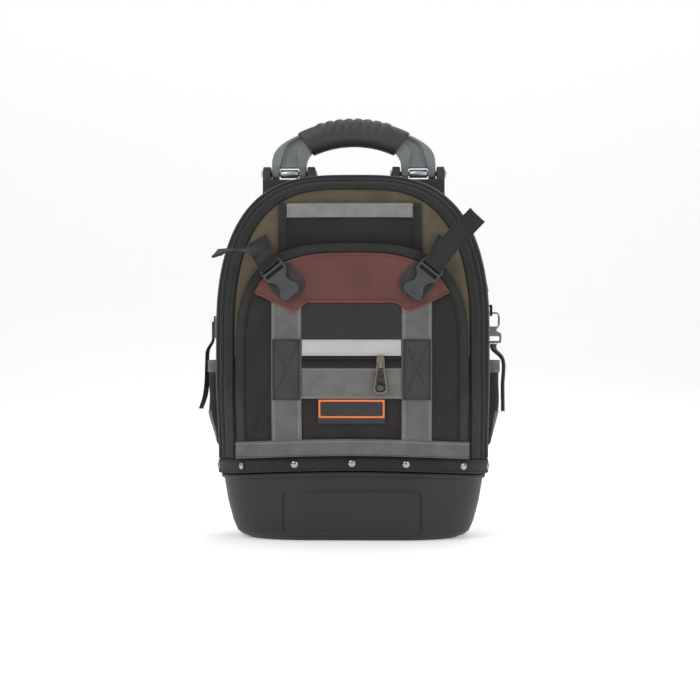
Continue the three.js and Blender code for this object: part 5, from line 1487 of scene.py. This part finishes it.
def make_grip():
    """Rubber over the handle's middle: a smooth roll with scalloped ribs on its top between two end collars."""
    half = grip_half_angle
    rings = []
    ends = np.array([half - 0.5, half - 0.15, half])
    degrees = np.concatenate([-ends[::-1], np.linspace(-half + 1, half - 1, 145), ends])
    turns = np.linspace(0, math.tau, 52, endpoint=False)
    rib_zone = half - 8.5
    for deg in degrees:
        end = min(1.0, (half - abs(deg)) / 1.1)
        size = 0.9 + 0.1 * math.sqrt(max(0.0, 1 - (1 - end) ** 2))
        share = deg / rib_zone
        in_ribs = float(1 - smooth(0.97, 1.0, abs(share)))
        phase = (share + 1) / 2 * (grip_ribs + 1)
        scallop = abs(math.sin(math.pi * phase)) ** 0.55
        ring = []
        for turn in turns:
            up, out = math.cos(turn), math.sin(turn)
            # The ribbed panel's lower edge curves down at the middle of the front.
            edge = 0.28 - 0.22 * math.cos(min(1.0, abs(share)) * math.pi / 2)
            on_panel = float(smooth(edge - 0.04, edge + 0.04, up)) * in_ribs
            lift = on_panel * (2.4 * scallop - 0.7)
            bead = 0.7 * float(bump(edge - 0.12, 0.1, up)) * in_ribs
            high = (size * grip_high / 2 + lift + bead) * math.copysign(abs(up) ** 0.85, up)
            thick = (size * grip_thick / 2 + 0.7 * lift + bead) * math.copysign(abs(out) ** 0.85, out)
            x, z = grip_place(deg * (1.023 + 0.05 * up), grip_radius + high)
            ring.append((x, thick, z))
        rings.append(ring)
    grid = np.array(rings)
    rows, columns = grid.shape[:2]
    faces = list(grid_faces(rows, columns, wrap=True))
    faces += [tuple(range(columns)), tuple((rows - 1) * columns + j for j in range(columns))]
    piece = mesh_of("handle_grip_rubber", grid.reshape(-1, 3), faces)
    outward(piece)
    return finish(piece, grip_rubber, "moulded_rubber", "handle", "handle_grip")


def lathe_x(name, profile, middle, z, sides=40):
    """A turned piece about a level axis: profile holds (along, radius)."""
    turn = np.linspace(0, math.tau, sides, endpoint=False)
    rings = [
        np.stack([np.full(sides, middle + a), r * np.cos(turn), z + r * np.sin(turn)], -1) for a, r in profile
    ]
    grid = np.array(rings)
    rows = len(profile)
    faces = list(grid_faces(rows, sides, wrap=True))
    faces += [tuple(range(sides))[::-1], tuple((rows - 1) * sides + j for j in range(sides))]
    piece = mesh_of(name, grid.reshape(-1, 3), faces)
    outward(piece)
    return piece


def make_pins():
    fork_half = arm_width / 2 - leg_width
    reach = arm_width / 2 + ear_gap + ear_thick + gap
    for name, side in (("left", -1), ("right", 1)):
        middle = side * (arm_outer - arm_width / 2)
        sleeve = fork_half - 1.2
        roller = [(-sleeve, 3.6), (-sleeve, sleeve_radius - 0.6), (-sleeve + 0.6, sleeve_radius)]
        roller += [(sleeve - 0.6, sleeve_radius), (sleeve, sleeve_radius - 0.6), (sleeve, 3.6)]
        finish(lathe_x("pivot_sleeve_" + name, roller, middle, pivot_z), turned_steel, "steel")
        dome = [(2.6 * math.sin(t), 5.5 * math.cos(t)) for t in np.linspace(0, math.pi / 2 - 0.06, 9)]
        heads = [(reach + a, r) for a, r in dome]
        pin = [(-a, r) for a, r in heads[::-1]] + [(-reach, pin_radius), (reach, pin_radius)] + heads
        finish(lathe_x("pivot_pin_" + name, pin, middle, pivot_z), turned_steel, "steel", "bag", "pin_" + name)


def make_handle():
    for name, side in (("left", -1), ("right", 1)):
        arm = make_arm(side, name)
        moulded("bracket_" + name + "_seat", "bracket_" + name, 1.3, bracket_plastic, "handle_plastic", "bag", 4)
        if side < 0:
            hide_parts("handle_frame")
    make_grip()
    make_pins()


# Buckles and straps


def unit(v):
    v = np.asarray(v, float)
    return v / np.linalg.norm(v)


def buckle_frame(side):
    """Origin and the across, up and off directions of a buckle on the pocket."""
    lean = math.radians(-side * buckle_lean)
    mid = buckle_length * 0.45
    x = side * buckle_foot[0] - math.sin(lean) * mid
    z = buckle_foot[1] + math.cos(lean) * mid
    step = 4
    slope_x = (pocket_y(x + step, z, False) - pocket_y(x - step, z, False)) / (2 * step)
    slope_z = (pocket_y(x, z + step, False) - pocket_y(x, z - step, False)) / (2 * step)
    off = -unit((slope_x, 1, slope_z))
    up = np.array((-math.sin(lean), 0, math.cos(lean)))
    up = unit(up - off * up.dot(off))
    across = np.cross(up, off)
    origin = np.array((x, -pocket_y(x, z, False), z)) + off * (3 * gap + webbing + leather + buckle_lift) - up * mid
    return origin, across, up, off


def anchor_rows(side, origin, across, up, off):
    def at(u, v, w):
        return origin + across * u + up * v + off * w

    anchor_x = side * (door_edge_x(anchor_z) - strap_width * 0.4)
    anchor = np.array((anchor_x, -(face_y(anchor_x, anchor_z) + 3 * gap + webbing / 2), anchor_z))
    under = receiver_thick - gap - webbing / 2
    frame_end = at(0, buckle_length + clip_bar, under - gap)
    points = [anchor, (anchor + frame_end) / 2, frame_end, at(0, buckle_length - 2 * clip_bar, under)]
    turns = [(across[0], 0, across[2]), across, across, across]
    return points, turns


right_tail = [((0.16, 0.17, 0.215), None), ((0.36, 0.22, 0.42), None), ((0.566, 0.24, 0.635), None)]
left_tail = [
    ((0.06, 0.14, 0.1), (0.7, -0.35, 0.62)), ((0.18, 0.2, 0.14), (0.35, -0.85, 0.4)),
    ((0.33, 0.22, 0.14), (0.05, -1, 0.04)), ((0.52, 0.17, 0.13), (-0.02, -1, -0.24)),
    ((0.72, 0.1, 0.1), (-0.04, -1, -0.42)),
]


def strap_rows(line, turns, spots, lift):
    """Lines along a strap at some places over its width, on the side of its normal."""
    along = np.gradient(line, axis=0)
    along /= np.linalg.norm(along, axis=1)[:, None]
    turns = turns - (turns * along).sum(1)[:, None] * along
    turns /= np.linalg.norm(turns, axis=1)[:, None]
    normal = np.cross(along, turns)
    return [(line + turns * spot + normal * lift, normal * math.copysign(1, lift)) for spot in spots]


def sewn_strap(name, points, turns, width, thick, material, slot, body, nodes, count=60, thread=black_thread):
    line, across = curve_through(points, count, turns)
    piece = ribbon(name, line, across, width, thick)
    finish(piece, material, slot, body, *nodes)
    rows = []
    for lift in (thick / 2 + 0.1, -thick / 2 - 0.1):
        rows += strap_rows(line, across, (-width / 2 + 2, width / 2 - 2), lift)
    stitches(name + "_stitches", rows, thread, slot, 3.8, body)
    return line, across


def clip_plate(width, length):
    """Outline of the buckle's upper part, with waists at its sides and rounded ends."""
    half = width / 2
    right = [
        (0.5 * half, 0.0), (0.8 * half, 0.05), (0.86 * half, 0.12), (0.8 * half, 0.22), (0.56 * half, 0.33),
        (0.5 * half, 0.42), (0.6 * half, 0.52), (0.92 * half, 0.62), (half, 0.7), (half, 0.9), (0.94 * half, 0.98),
        (0.8 * half, 1.0), (0.0, 1.0),
    ]
    points = [(a, length * u) for a, u in right]
    both = [(0, 0)] + points + [(-a, u) for a, u in points[::-1][1:]]
    line = curve_through([(a, 0, u) for a, u in both + both[:1]], 110)[:-1]
    return line[:, [0, 2]]


def make_buckle(name, side):
    origin, across, up, off = buckle_frame(side)

    def place(base, sideways=0.0):
        return lambda a, u, depth: origin + across * (a + sideways) + up * u + off * (base + depth)

    # Leather-backed patch with a stitched rim, a little nearer the middle than the clip.
    half = 19.6
    turn = np.linspace(0, math.pi, 26)[1:-1]
    outline = [(half, 34)] + [(half, 12)]
    outline += [(half * math.cos(t), 12 - 14 * math.sin(t) ** 0.8) for t in turn]
    outline += [(-half, 12), (-half, 34), (-half + 4, 40), (half - 4, 40)]
    shift = -side * 2.4
    fine = curve_through([(a, 0, u) for a, u in outline + outline[:1]], 120)[:-1][:, [0, 2]]
    patch = solid_of("buckle_patch_" + name, fine, 1.6, place(-0.4, shift))
    inner = inset_outline(fine, 5)
    boolean(patch, solid_of("window", inner, 4, place(0.5, shift)))
    softened(patch, 0.7, 3)
    finish(patch, patch_rubber, "moulded_rubber", "bag", "buckle_receiver_" + name)
    line = inset_outline(fine, 2.4)
    line = np.concatenate([line, line[:1]])
    points = np.array([place(1.35, shift)(a, u, 0) for a, u in line])
    stitches("buckle_patch_" + name + "_stitches", [(points, np.repeat(off[None], len(points), 0))], black_thread,
             "moulded_rubber", 2.4)
    # The body under the clip holds two curved side prongs.
    plate = clip_plate(buckle_width, buckle_length)
    lower = solid_of("buckle_clip_body_" + name, plate, clip_thick - 1.2, place(receiver_thick + gap))
    slot_half = strap_width / 2 + gap
    top = buckle_length - 3
    for low, high in ((top - 4.6, top), (top - 12.4, top - 8.0)):
        slot_shape = [(-slot_half, low), (slot_half, low), (slot_half, high), (-slot_half, high)]
        boolean(lower, solid_of("slot", slot_shape, 20, place(-4)))
    # A sunk field and a notch between the prongs show how the clip is pressed.
    field = [(-5.5, 6), (5.5, 6), (7, 14), (5, 24), (-5, 24), (-7, 14)]
    smooth_field = curve_through([(a, 0, u) for a, u in field + field[:1]], 40)[:-1][:, [0, 2]]
    boolean(lower, solid_of("field", smooth_field, 6, place(receiver_thick + gap + clip_thick - 2.6)))
    for edge in (-1, 1):
        prong = [(edge * 13.2, 8.5), (edge * 9.6, 12), (edge * 8.4, 18), (edge * 9.2, 24), (edge * 10.2, 24.5),
                 (edge * 9.8, 18), (edge * 10.8, 13), (edge * 14, 10)]
        boolean(lower, solid_of("prong", prong, 6, place(receiver_thick + gap + clip_thick - 3.2)))
    softened(lower, 0.65, 3)
    finish(lower, acetal, "buckle_plastic", "bag", "buckle_clip_" + name)
    # A crown over the middle bar.
    bar = np.array([place(receiver_thick + gap + clip_thick - 1.0)(a, top - 6.3, 0) for a in np.linspace(-14, 14, 12)])
    finish(tube_along("buckle_bar_" + name, bar, 1.7), acetal, "buckle_plastic")
    return origin, across, up, off


def make_buckles():
    for name, side in (("left", -1), ("right", 1)):
        origin, across, up, off = make_buckle(name, side)
        points, turns = anchor_rows(side, origin, across, up, off)
        sewn_strap("anchor_" + name, points, turns, strap_width, webbing, black_webbing, "black_webbing", "bag",
                   ["anchor_strap_" + name], 40)
        top = receiver_thick + gap + clip_thick
        start = [
            origin + up * (buckle_length - 6) + off * (top + gap + webbing),
            origin + up * (buckle_length + 5) + off * (top + 2 * gap + webbing),
        ]
        tail = right_tail if side > 0 else left_tail
        shares = np.array([row[0] for row in tail]) * tail_length
        points = start + [start[1] + np.array((side * out, -front, rise)) for out, front, rise in shares]
        turns = [across, across] + [across if turn is None else turn for _, turn in tail]
        line, across_line = sewn_strap("tail_" + name, points, turns, strap_width, webbing, black_webbing,
                                       "black_webbing", "bag", ["loose_strap_" + name])
        # The end is folded back on itself and sewn across.
        fold = max(6, int(len(line) * 0.17))
        thick = 1.3
        along = unit(line[-1] - line[-2])
        normal = unit(np.cross(along, across_line[-1]))
        lift = 1.45 if side > 0 else -1.45
        piece = ribbon("tail_fold_" + name, line[-fold:] + normal * lift, across_line[-fold:], strap_width - 0.4, thick)
        finish(piece, black_webbing, "black_webbing")
        start_line, start_turn = line[-fold + 2], unit(across_line[-fold + 2])
        spots = np.linspace(-strap_width / 2 + 2, strap_width / 2 - 2, 12)
        row = start_line + normal * (lift + math.copysign(thick / 2 + 0.1, lift)) + spots[:, None] * start_turn
        stitches("tail_fold_" + name + "_stitches", [(row, np.repeat(normal[None], 12, 0))])


# Sides


def pouch_x(y, z):
    across = np.sqrt(1 - np.clip(np.abs(y - side_pocket_y) / side_pocket_half, 0, 1) ** 6)
    up = smooth(side_pocket_bottom - 14, side_pocket_bottom + 52, z)
    return side_x(y, z) + side_seam + (side_pocket_depth - side_seam) * across * up


def side_grid(side, bottom, top, lift, rows, columns=50, reach=1.0):
    y = side_pocket_y + side_pocket_half * reach * np.sin(np.linspace(-math.pi / 2, math.pi / 2, columns))
    z = np.linspace(bottom, top, rows)
    y, z = np.meshgrid(y, z)
    soft = 0.7 * ripple(y, z, 38, 31 + side) * np.clip((side_pocket_top - side_band - z) / 20, 0, 1)
    return np.stack([side * (pouch_x(y, z) + lift + soft), y, z], -1)


def make_side_pockets():
    for name, side in (("left", -1), ("right", 1)):
        flip = side < 0
        grid = side_grid(side, side_pocket_bottom, side_pocket_top - 1, -0.1, 70)
        cloth = thicken(grid_mesh("side_pocket_cloth_" + name, grid, flip), 1.8, 0, 0.3)
        finish(cloth, canvas, "black_canvas", "bag", "side_pocket_" + name)
        # Walls join the pocket's edges to the body, and its foot is closed with a grey patch.
        for edge, y in (("front", side_pocket_y - side_pocket_half), ("back", side_pocket_y + side_pocket_half)):
            z = np.linspace(side_pocket_bottom, side_pocket_top - 1, 40)
            x0, x1 = side_x(np.full_like(z, y), z) - 0.5, pouch_x(np.full_like(z, y), z) - 0.4
            wall = np.stack([
                np.stack([side * mix(x0, x1, t), np.full_like(z, y), z], -1) for t in (0, 0.5, 1)
            ])
            if edge == "back":
                wall = wall[::-1]
            finish(grid_mesh("side_pocket_wall_%s_%s" % (edge, name), wall, not flip), canvas, "black_canvas")
        grid = side_grid(side, side_pocket_top - side_band, side_pocket_top, 1.6, 14).transpose(1, 0, 2)
        band = thicken(grid_mesh("side_band_cloth_" + name, grid, not flip), 1.4, 0, 0.5)
        finish(band, grey_webbing, "grey_webbing", "bag", "side_band_" + name)
        grid = side_grid(side, side_pocket_bottom + 2, side_pocket_bottom + 44, 1.0, 26, 50, 0.94)
        lower = thicken(grid_mesh("side_patch_" + name, grid, flip), 1.0, 0, 0.3)
        finish(lower, grey_ribbed, "grey_webbing")
        rows = []
        for z in (side_pocket_top - side_band + 2.2, side_pocket_top - 2.2):
            y = side_pocket_y + side_pocket_half * 0.96 * np.sin(np.linspace(-math.pi / 2, math.pi / 2, 40))
            x = pouch_x(y, np.full_like(y, z)) + 1.8
            out = np.repeat(np.array([[side, 0.0, 0.0]]), 40, 0)
            rows.append((np.stack([side * x, y, np.full_like(y, z)], -1), out))
        stitches("side_band_stitches_" + name, rows, pale_thread, "grey_webbing")


def hanging(name, rows, y, span, top, side, width, thick, node, body="bag"):
    """A strap hung from a fitting at the side: rows hold (out, share down, turn)."""
    points = [(side * out, y, top - down * span) for out, down, _ in rows]
    turns = [(turn, 1, 0) for _, _, turn in rows]
    return sewn_strap(name, points, turns, width, thick, black_webbing, "black_webbing", body, [node], 70)


def make_side_gear():
    moulded("tape_clip_metal", "tape_clip", 0.8, puller_nickel, "satin_nickel", "bag", 2)
    moulded("snap_hook_metal", "snap_hook", 0.45, puller_nickel, "satin_nickel", "bag", 3)
    moulded("side_ring_metal", "side_ring", 0.5, black_metal, "satin_nickel", "bag", 2)
    outer, over = 185.75, 192.85
    rows = [(outer, -0.21, 0), (outer, -0.02, 0), (outer + 0.4, 0.05, 0), (over, 0.19, 0.1), (over + 0.94, 0.36, 0.12),
            (over + 1.5, 0.66, 0.2), (over + 3.76, 0.83, 0.2), (over + 9, 1.0, 0.15)]
    hanging("side_strap_left", rows, side_gear_y, 94, 258, -1, 19, webbing, "hanging_strap_left")
    hook, over = 183.3, 195.4
    rows = [(hook, 0, 0.4), (hook + 0.4, 0.07, 0.3), (over, 0.23, 0.12), (over, 0.63, 0.12), (over + 0.4, 1, 0.12)]
    hanging("side_strap_right", rows, side_gear_y, 88, 249.1, 1, 21, 3.6, "hanging_strap_right")
    points = [(173.15, side_gear_y, 319), (173.2, side_gear_y, 302.9), (180.3, side_gear_y, 297)]
    sewn_strap("ring_tab_webbing", points, [(0, 1, 0)] * 3, 13.4, webbing, black_webbing, "black_webbing", "bag",
               ["ring_tab"], 24)


# Zip sliders and pullers


def make_pocket_puller():
    """A cast tab: a round rim about a thin dark plate with a window and a dimple, and an eye over the bail."""
    low, high = (np.array(v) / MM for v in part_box("pocket_zip_puller"))
    middle = (low + high) / 2
    top, foot, wide = high[2], low[2], (high[0] - low[0]) / 2
    right = [(0, top - 1.1), (3.2, top - 1.3), (4.2, top - 4), (4.4, top - 12), (5.8, top - 20), (wide - 1.2, foot + 9),
             (wide - 1.4, foot + 4), (wide - 4.5, foot + 1.5), (0, foot + 1.1)]
    loop = right + [(-a, u) for a, u in right[::-1][1:-1]]
    line = curve_through([(middle[0] + a, middle[1], u) for a, u in loop + loop[:1]], 90)[:-1]
    rim = tube_along("pocket_puller_rim", line, 1.0, 12, True)
    finish(rim, puller_nickel, "satin_nickel", "pocket_puller", "pocket_zip_puller")
    shape = line[:, [0, 2]]
    plate_line = shape[shape[:, 1] < top - 11]
    plate = upright_plate("pocket_puller_plate", plate_line, middle[1] - 0.45, middle[1] + 0.45)
    window = [(-2.2, top - 21), (2.2, top - 21), (3.0, top - 27), (-3.0, top - 27)]
    boolean(plate, upright_plate("window", [(middle[0] + a, u) for a, u in window], middle[1] - 3, middle[1] + 3))
    finish(plate, dark_nickel, "satin_nickel", "pocket_puller")
    turn = np.linspace(0, math.tau, 30, endpoint=False)
    ring = [(middle[0] + 2.3 * math.cos(t), middle[1] - 0.5, foot + 7 + 2.3 * math.sin(t)) for t in turn]
    finish(tube_along("pocket_puller_dimple", ring, 0.55, 8, True), puller_nickel, "satin_nickel", "pocket_puller")


def make_sliders():
    for node, body in (
        ("pocket_zip_slider", "bag"), ("side_zip_left_slider", "bag"), ("side_zip_right_slider", "bag"),
    ):
        moulded(node + "_metal", node, 0.5, puller_nickel, "satin_nickel", body, 3)
    make_pocket_puller()
    for node, body in (
        ("side_zip_left_puller", "left_puller"),
        ("side_zip_right_puller", "right_puller"),
    ):
        moulded(node + "_metal", node, 0.5, puller_nickel, "satin_nickel", body, 3)


# Back


# The cloth simulation's pressure, and the furthest that it may move a point, in mm.
pad_pressure = 3
pad_travel = 2.5


def relaxed(piece, pressure):
    """Swells a padded piece by a cloth simulation on even faces. No point moves more than the cap from its start."""
    net = piece.modifiers.new("net", "REMESH")
    net.mode = "VOXEL"
    net.voxel_size = 6 * MM
    applied(piece)
    start = np.empty(len(piece.data.vertices) * 3)
    piece.data.vertices.foreach_get("co", start)
    start = start.reshape(-1, 3)
    scene = bpy.context.scene
    cloth = piece.modifiers.new("cloth", "CLOTH")
    settings = cloth.settings
    settings.quality = 6
    settings.mass = 0.3
    settings.tension_stiffness = 30
    settings.compression_stiffness = 30
    settings.shear_stiffness = 12
    settings.bending_stiffness = 0.4
    settings.use_pressure = True
    settings.uniform_pressure_force = pressure
    settings.effector_weights.gravity = 0
    cloth.point_cache.frame_start = 1
    cloth.point_cache.frame_end = 20
    for number in range(1, 21):
        scene.frame_set(number)
    applied(piece)
    scene.frame_set(1)
    moved = np.empty(len(start) * 3)
    piece.data.vertices.foreach_get("co", moved)
    shift = moved.reshape(-1, 3) - start
    far = np.linalg.norm(shift, axis=1)[:, None]
    shift = shift * np.minimum(1, pad_travel * MM / np.maximum(far, 1e-9))
    piece.data.vertices.foreach_set("co", (start + shift).ravel())
    fine = piece.modifiers.new("fine", "SUBSURF")
    fine.levels = 1
    fine.render_levels = 1
    return applied(piece)


def make_back_pad():
    """A spacer-mesh pad over the back, with a raised quilted border."""
    inset = 22
    top = body_top - edge_top_share * edge_corner[0] - inset
    foot_z = rim_height + rim_arch + rim_strip + 3
    levels = np.concatenate([np.linspace(foot_z, arch_spring, 46)[:-1], arch_rows(top, 46)])
    share = np.sin(np.linspace(-math.pi / 2, math.pi / 2, 80))
    z = np.repeat(levels[:, None], 80, 1)
    x = share[None, :] * np.maximum(door_edge_x(np.minimum(z + inset, 442)) - inset, 0.5)
    foot = np.clip((z - levels[0]) / 9, 0, 1)
    head = np.clip((levels[-1] - z) / 6, 0, 1) + 0.25
    edge = np.minimum(1, (1 - np.abs(share)[None, :]) * 9) * np.minimum(foot, head)
    puff = np.sqrt(np.clip(edge * (2 - edge), 0, 1))
    quilt = 1 - 0.32 * np.exp(-(((np.abs(x) - 62) / 3.0) ** 2)) - 0.25 * np.exp(-(((z - 230) / 3.5) ** 2))
    face = face_y(x, z) + 1.4 + (back_pad_thick - 0.4) * puff * quilt
    back = face_y(x, z) + 1.2
    grid = np.concatenate([np.stack([x, face, z], -1), np.stack([x, back, z], -1)[::-1]])
    rows, columns = grid.shape[:2]
    faces = [f[::-1] for f in grid_faces(rows, columns)]
    points = grid.reshape(-1, 3)
    faces += [tuple((rows - 1) * columns + j for j in range(columns))[::-1] + tuple(range(columns))]
    faces.append((0,) + tuple(i * columns for i in range(rows - 1, 0, -1)))
    faces.append(tuple(i * columns + columns - 1 for i in range(rows)))
    piece = mesh_of("back_pad_cushion", points, faces)
    outward(piece)
    relaxed(piece, pad_pressure)
    finish(piece, padding_mesh, "back_mesh", "bag", "back_pad")


shoulder_rows = [(0, 0, 0, 0), (0.12, 0.09, 0.32, 0), (0.39, 0.32, 0.95, 0.2), (0.66, 0.6, 1, 0.35),
                 (0.88, 0.87, 0.57, 0.3), (1, 1, 0.24, 0.25)]


def shoulder_line(side):
    points, turns = [], []
    for down, out, bow, lean in shoulder_rows:
        z = mix(420, 190, down)
        points.append((side * mix(40, 116, out), depth_at(z) + 13.3 + 0.8 + shoulder_thick / 2 + bow * 37, z))
        turns.append((1, 0, side * lean))
    return curve_through(points, 70, turns)


def make_shoulder_straps():
    """Padded straps: thick in the middle, thin at their bound edges, with a webbing sewn down the outside."""
    for name, side in (("left", -1), ("right", 1)):
        line, across = shoulder_line(side)
        along = np.gradient(line, axis=0)
        along /= np.linalg.norm(along, axis=1)[:, None]
        across = across - (across * along).sum(1)[:, None] * along
        across /= np.linalg.norm(across, axis=1)[:, None]
        normal = np.cross(along, across)
        turn = np.linspace(0, math.tau, 36, endpoint=False)
        wide = np.sign(np.cos(turn)) * np.abs(np.cos(turn)) ** 0.75 * (shoulder_width / 2 - 1)
        deep = np.sign(np.sin(turn)) * np.abs(np.sin(turn)) ** 0.6 * (shoulder_thick / 2 - 0.4)
        taper = np.ones(len(line))
        taper[-1], taper[-2], taper[-3] = 0.8, 0.93, 0.98
        grid = (
            line[:, None]
            + (wide[None, :, None] * taper[:, None, None]) * across[:, None]
            + deep[None, :, None] * normal[:, None]
        )
        rows, columns = grid.shape[:2]
        faces = list(grid_faces(rows, columns, wrap=True))
        faces += [tuple(range(columns))[::-1], tuple((rows - 1) * columns + j for j in range(columns))]
        piece = mesh_of("shoulder_pad_" + name, grid.reshape(-1, 3), faces)
        outward(piece)
        relaxed(piece, pad_pressure)
        finish(piece, pad_cloth, "black_canvas", "bag", "shoulder_strap_" + name)
        out = 1 if normal[len(normal) // 2, 1] > 0 else -1
        lift = shoulder_thick / 2 + 0.35
        tape = ribbon("shoulder_webbing_" + name, line + normal * out * lift, across, strap_width, webbing)
        finish(tape, black_webbing, "black_webbing")
        rows = strap_rows(line, across, (-strap_width / 2 + 2, strap_width / 2 - 2), out * (lift + webbing / 2 + 0.1))
        stitches("shoulder_stitches_" + name, rows)
        # The hem that closes the pad's edge on both sides.
        for edge in (-1, 1):
            hem = line + across * edge * (shoulder_width / 2 - 1.3) * taper[:, None]
            finish(tube_along("shoulder_hem_%s_%s" % (name, "inner" if edge * side < 0 else "outer"), hem, 2.2, 10),
                   binding_tape, "black_webbing")
        moulded("ladder_lock_" + name + "_plastic", "ladder_lock_" + name, 0.7, acetal, "buckle_plastic", "bag", 2)


def make_lower_straps():
    """Webbing from the ladder locks down to the body's lower corners."""
    for name, side in (("left", -1), ("right", 1)):
        line, across = shoulder_line(side)
        end, turn = line[-1], unit(across[-1])
        ahead = unit(line[-1] - line[-3])
        foot = np.array((side * 152.2, float(face_y(150.0, 121.0)) + 2.6, 121.0))
        start = end + ahead * 21
        middle = mix(start, foot, 0.5) + np.array((0, 4.0, -2.0))
        points = [end + ahead * 9, start, middle, mix(middle, foot, 0.7), foot]
        sewn_strap("lower_webbing_" + name, points, [turn] * 2 + [mix(turn, np.array((1.0, 0, 0)), 0.5)] * 2
                   + [(1.0, -0.35 * side, 0)], 20, webbing, black_webbing, "black_webbing", "bag",
                   ["lower_strap_" + name], 50)


# Stage


def make_stage():
    """A pale floor that bends up into a wall, soft lights from both sides, and the camera."""
    turn = np.linspace(0, math.pi / 2, 14)
    profile = [(-6.0, 0.0)] + [(2.2 + 1.4 * math.sin(t), 1.4 - 1.4 * math.cos(t)) for t in turn] + [(3.6, 6.0)]
    points = [(x, y, z - 0.0004) for x in (-7.0, 7.0) for y, z in profile]
    count = len(profile)
    faces = [(i, count + i, count + i + 1, i + 1) for i in range(count - 1)]
    mesh = bpy.data.meshes.new("floor")
    mesh.from_pydata(points, [], faces)
    mesh.polygons.foreach_set("use_smooth", [True] * len(faces))
    floor = bpy.data.objects.new("floor", mesh)
    bpy.context.scene.collection.objects.link(floor)
    paper = new_material("studio_paper", "#F6F6F5", 0.9, Emission_Strength=0.34)[0]
    paper.node_tree.nodes["Principled BSDF"].inputs["Emission Color"].default_value = colour("#FFFFFF")
    mesh.materials.append(paper)

    world = bpy.data.worlds.new("studio")
    bpy.context.scene.world = world
    world.use_nodes = True
    world.node_tree.nodes["Background"].inputs["Color"].default_value = colour("#F4F5F7")
    world.node_tree.nodes["Background"].inputs["Strength"].default_value = 0.4
    for name, place, size, power in (
        ("key", (-1.5, -2.0, 2.1), 1.4, 27),
        ("fill", (1.9, -1.7, 1.2), 1.5, 13),
        ("top", (0.1, 0.1, 2.4), 1.6, 15),
        ("back", (0.6, 1.9, 1.6), 1.2, 12),
    ):
        light = bpy.data.lights.new(name, "AREA")
        light.size = size
        light.energy = power
        lamp = bpy.data.objects.new(name, light)
        bpy.context.scene.collection.objects.link(lamp)
        lamp.location = place
        aim = Vector((0, 0, 0.25)) - Vector(place)
        lamp.rotation_mode = "QUATERNION"
        lamp.rotation_quaternion = aim.to_track_quat("-Z", "Y")

    azimuth = math.radians(1.5)
    distance, shift, height = 2.2, -0.005, 0.241
    ahead = Vector((-math.sin(azimuth), math.cos(azimuth), 0))
    right = Vector((math.cos(azimuth), math.sin(azimuth), 0))
    camera = bpy.data.cameras.new("camera")
    camera.sensor_width = 36
    camera.lens = 36 * 1676.1 / 700
    camera.dof.use_dof = False
    eye = bpy.data.objects.new("camera", camera)
    bpy.context.scene.collection.objects.link(eye)
    eye.location = right * shift - ahead * distance + Vector((0, 0, height))
    eye.rotation_mode = "QUATERNION"
    eye.rotation_quaternion = ahead.to_track_quat("-Z", "Y")
    bpy.context.scene.camera = eye
    bpy.context.scene.view_settings.view_transform = "Standard"


for make in (
    make_tub, make_rim, make_body, make_front_zip, make_rear_zip, make_panels, make_pocket, make_binding,
    make_pocket_webbing, make_cross_patches, make_leather, make_centre_panels, make_label, make_sleeve,
    make_handle, make_buckles, make_side_pockets, make_side_gear, make_sliders, make_back_pad,
    make_shoulder_straps, make_lower_straps, make_stage,
):
    make()
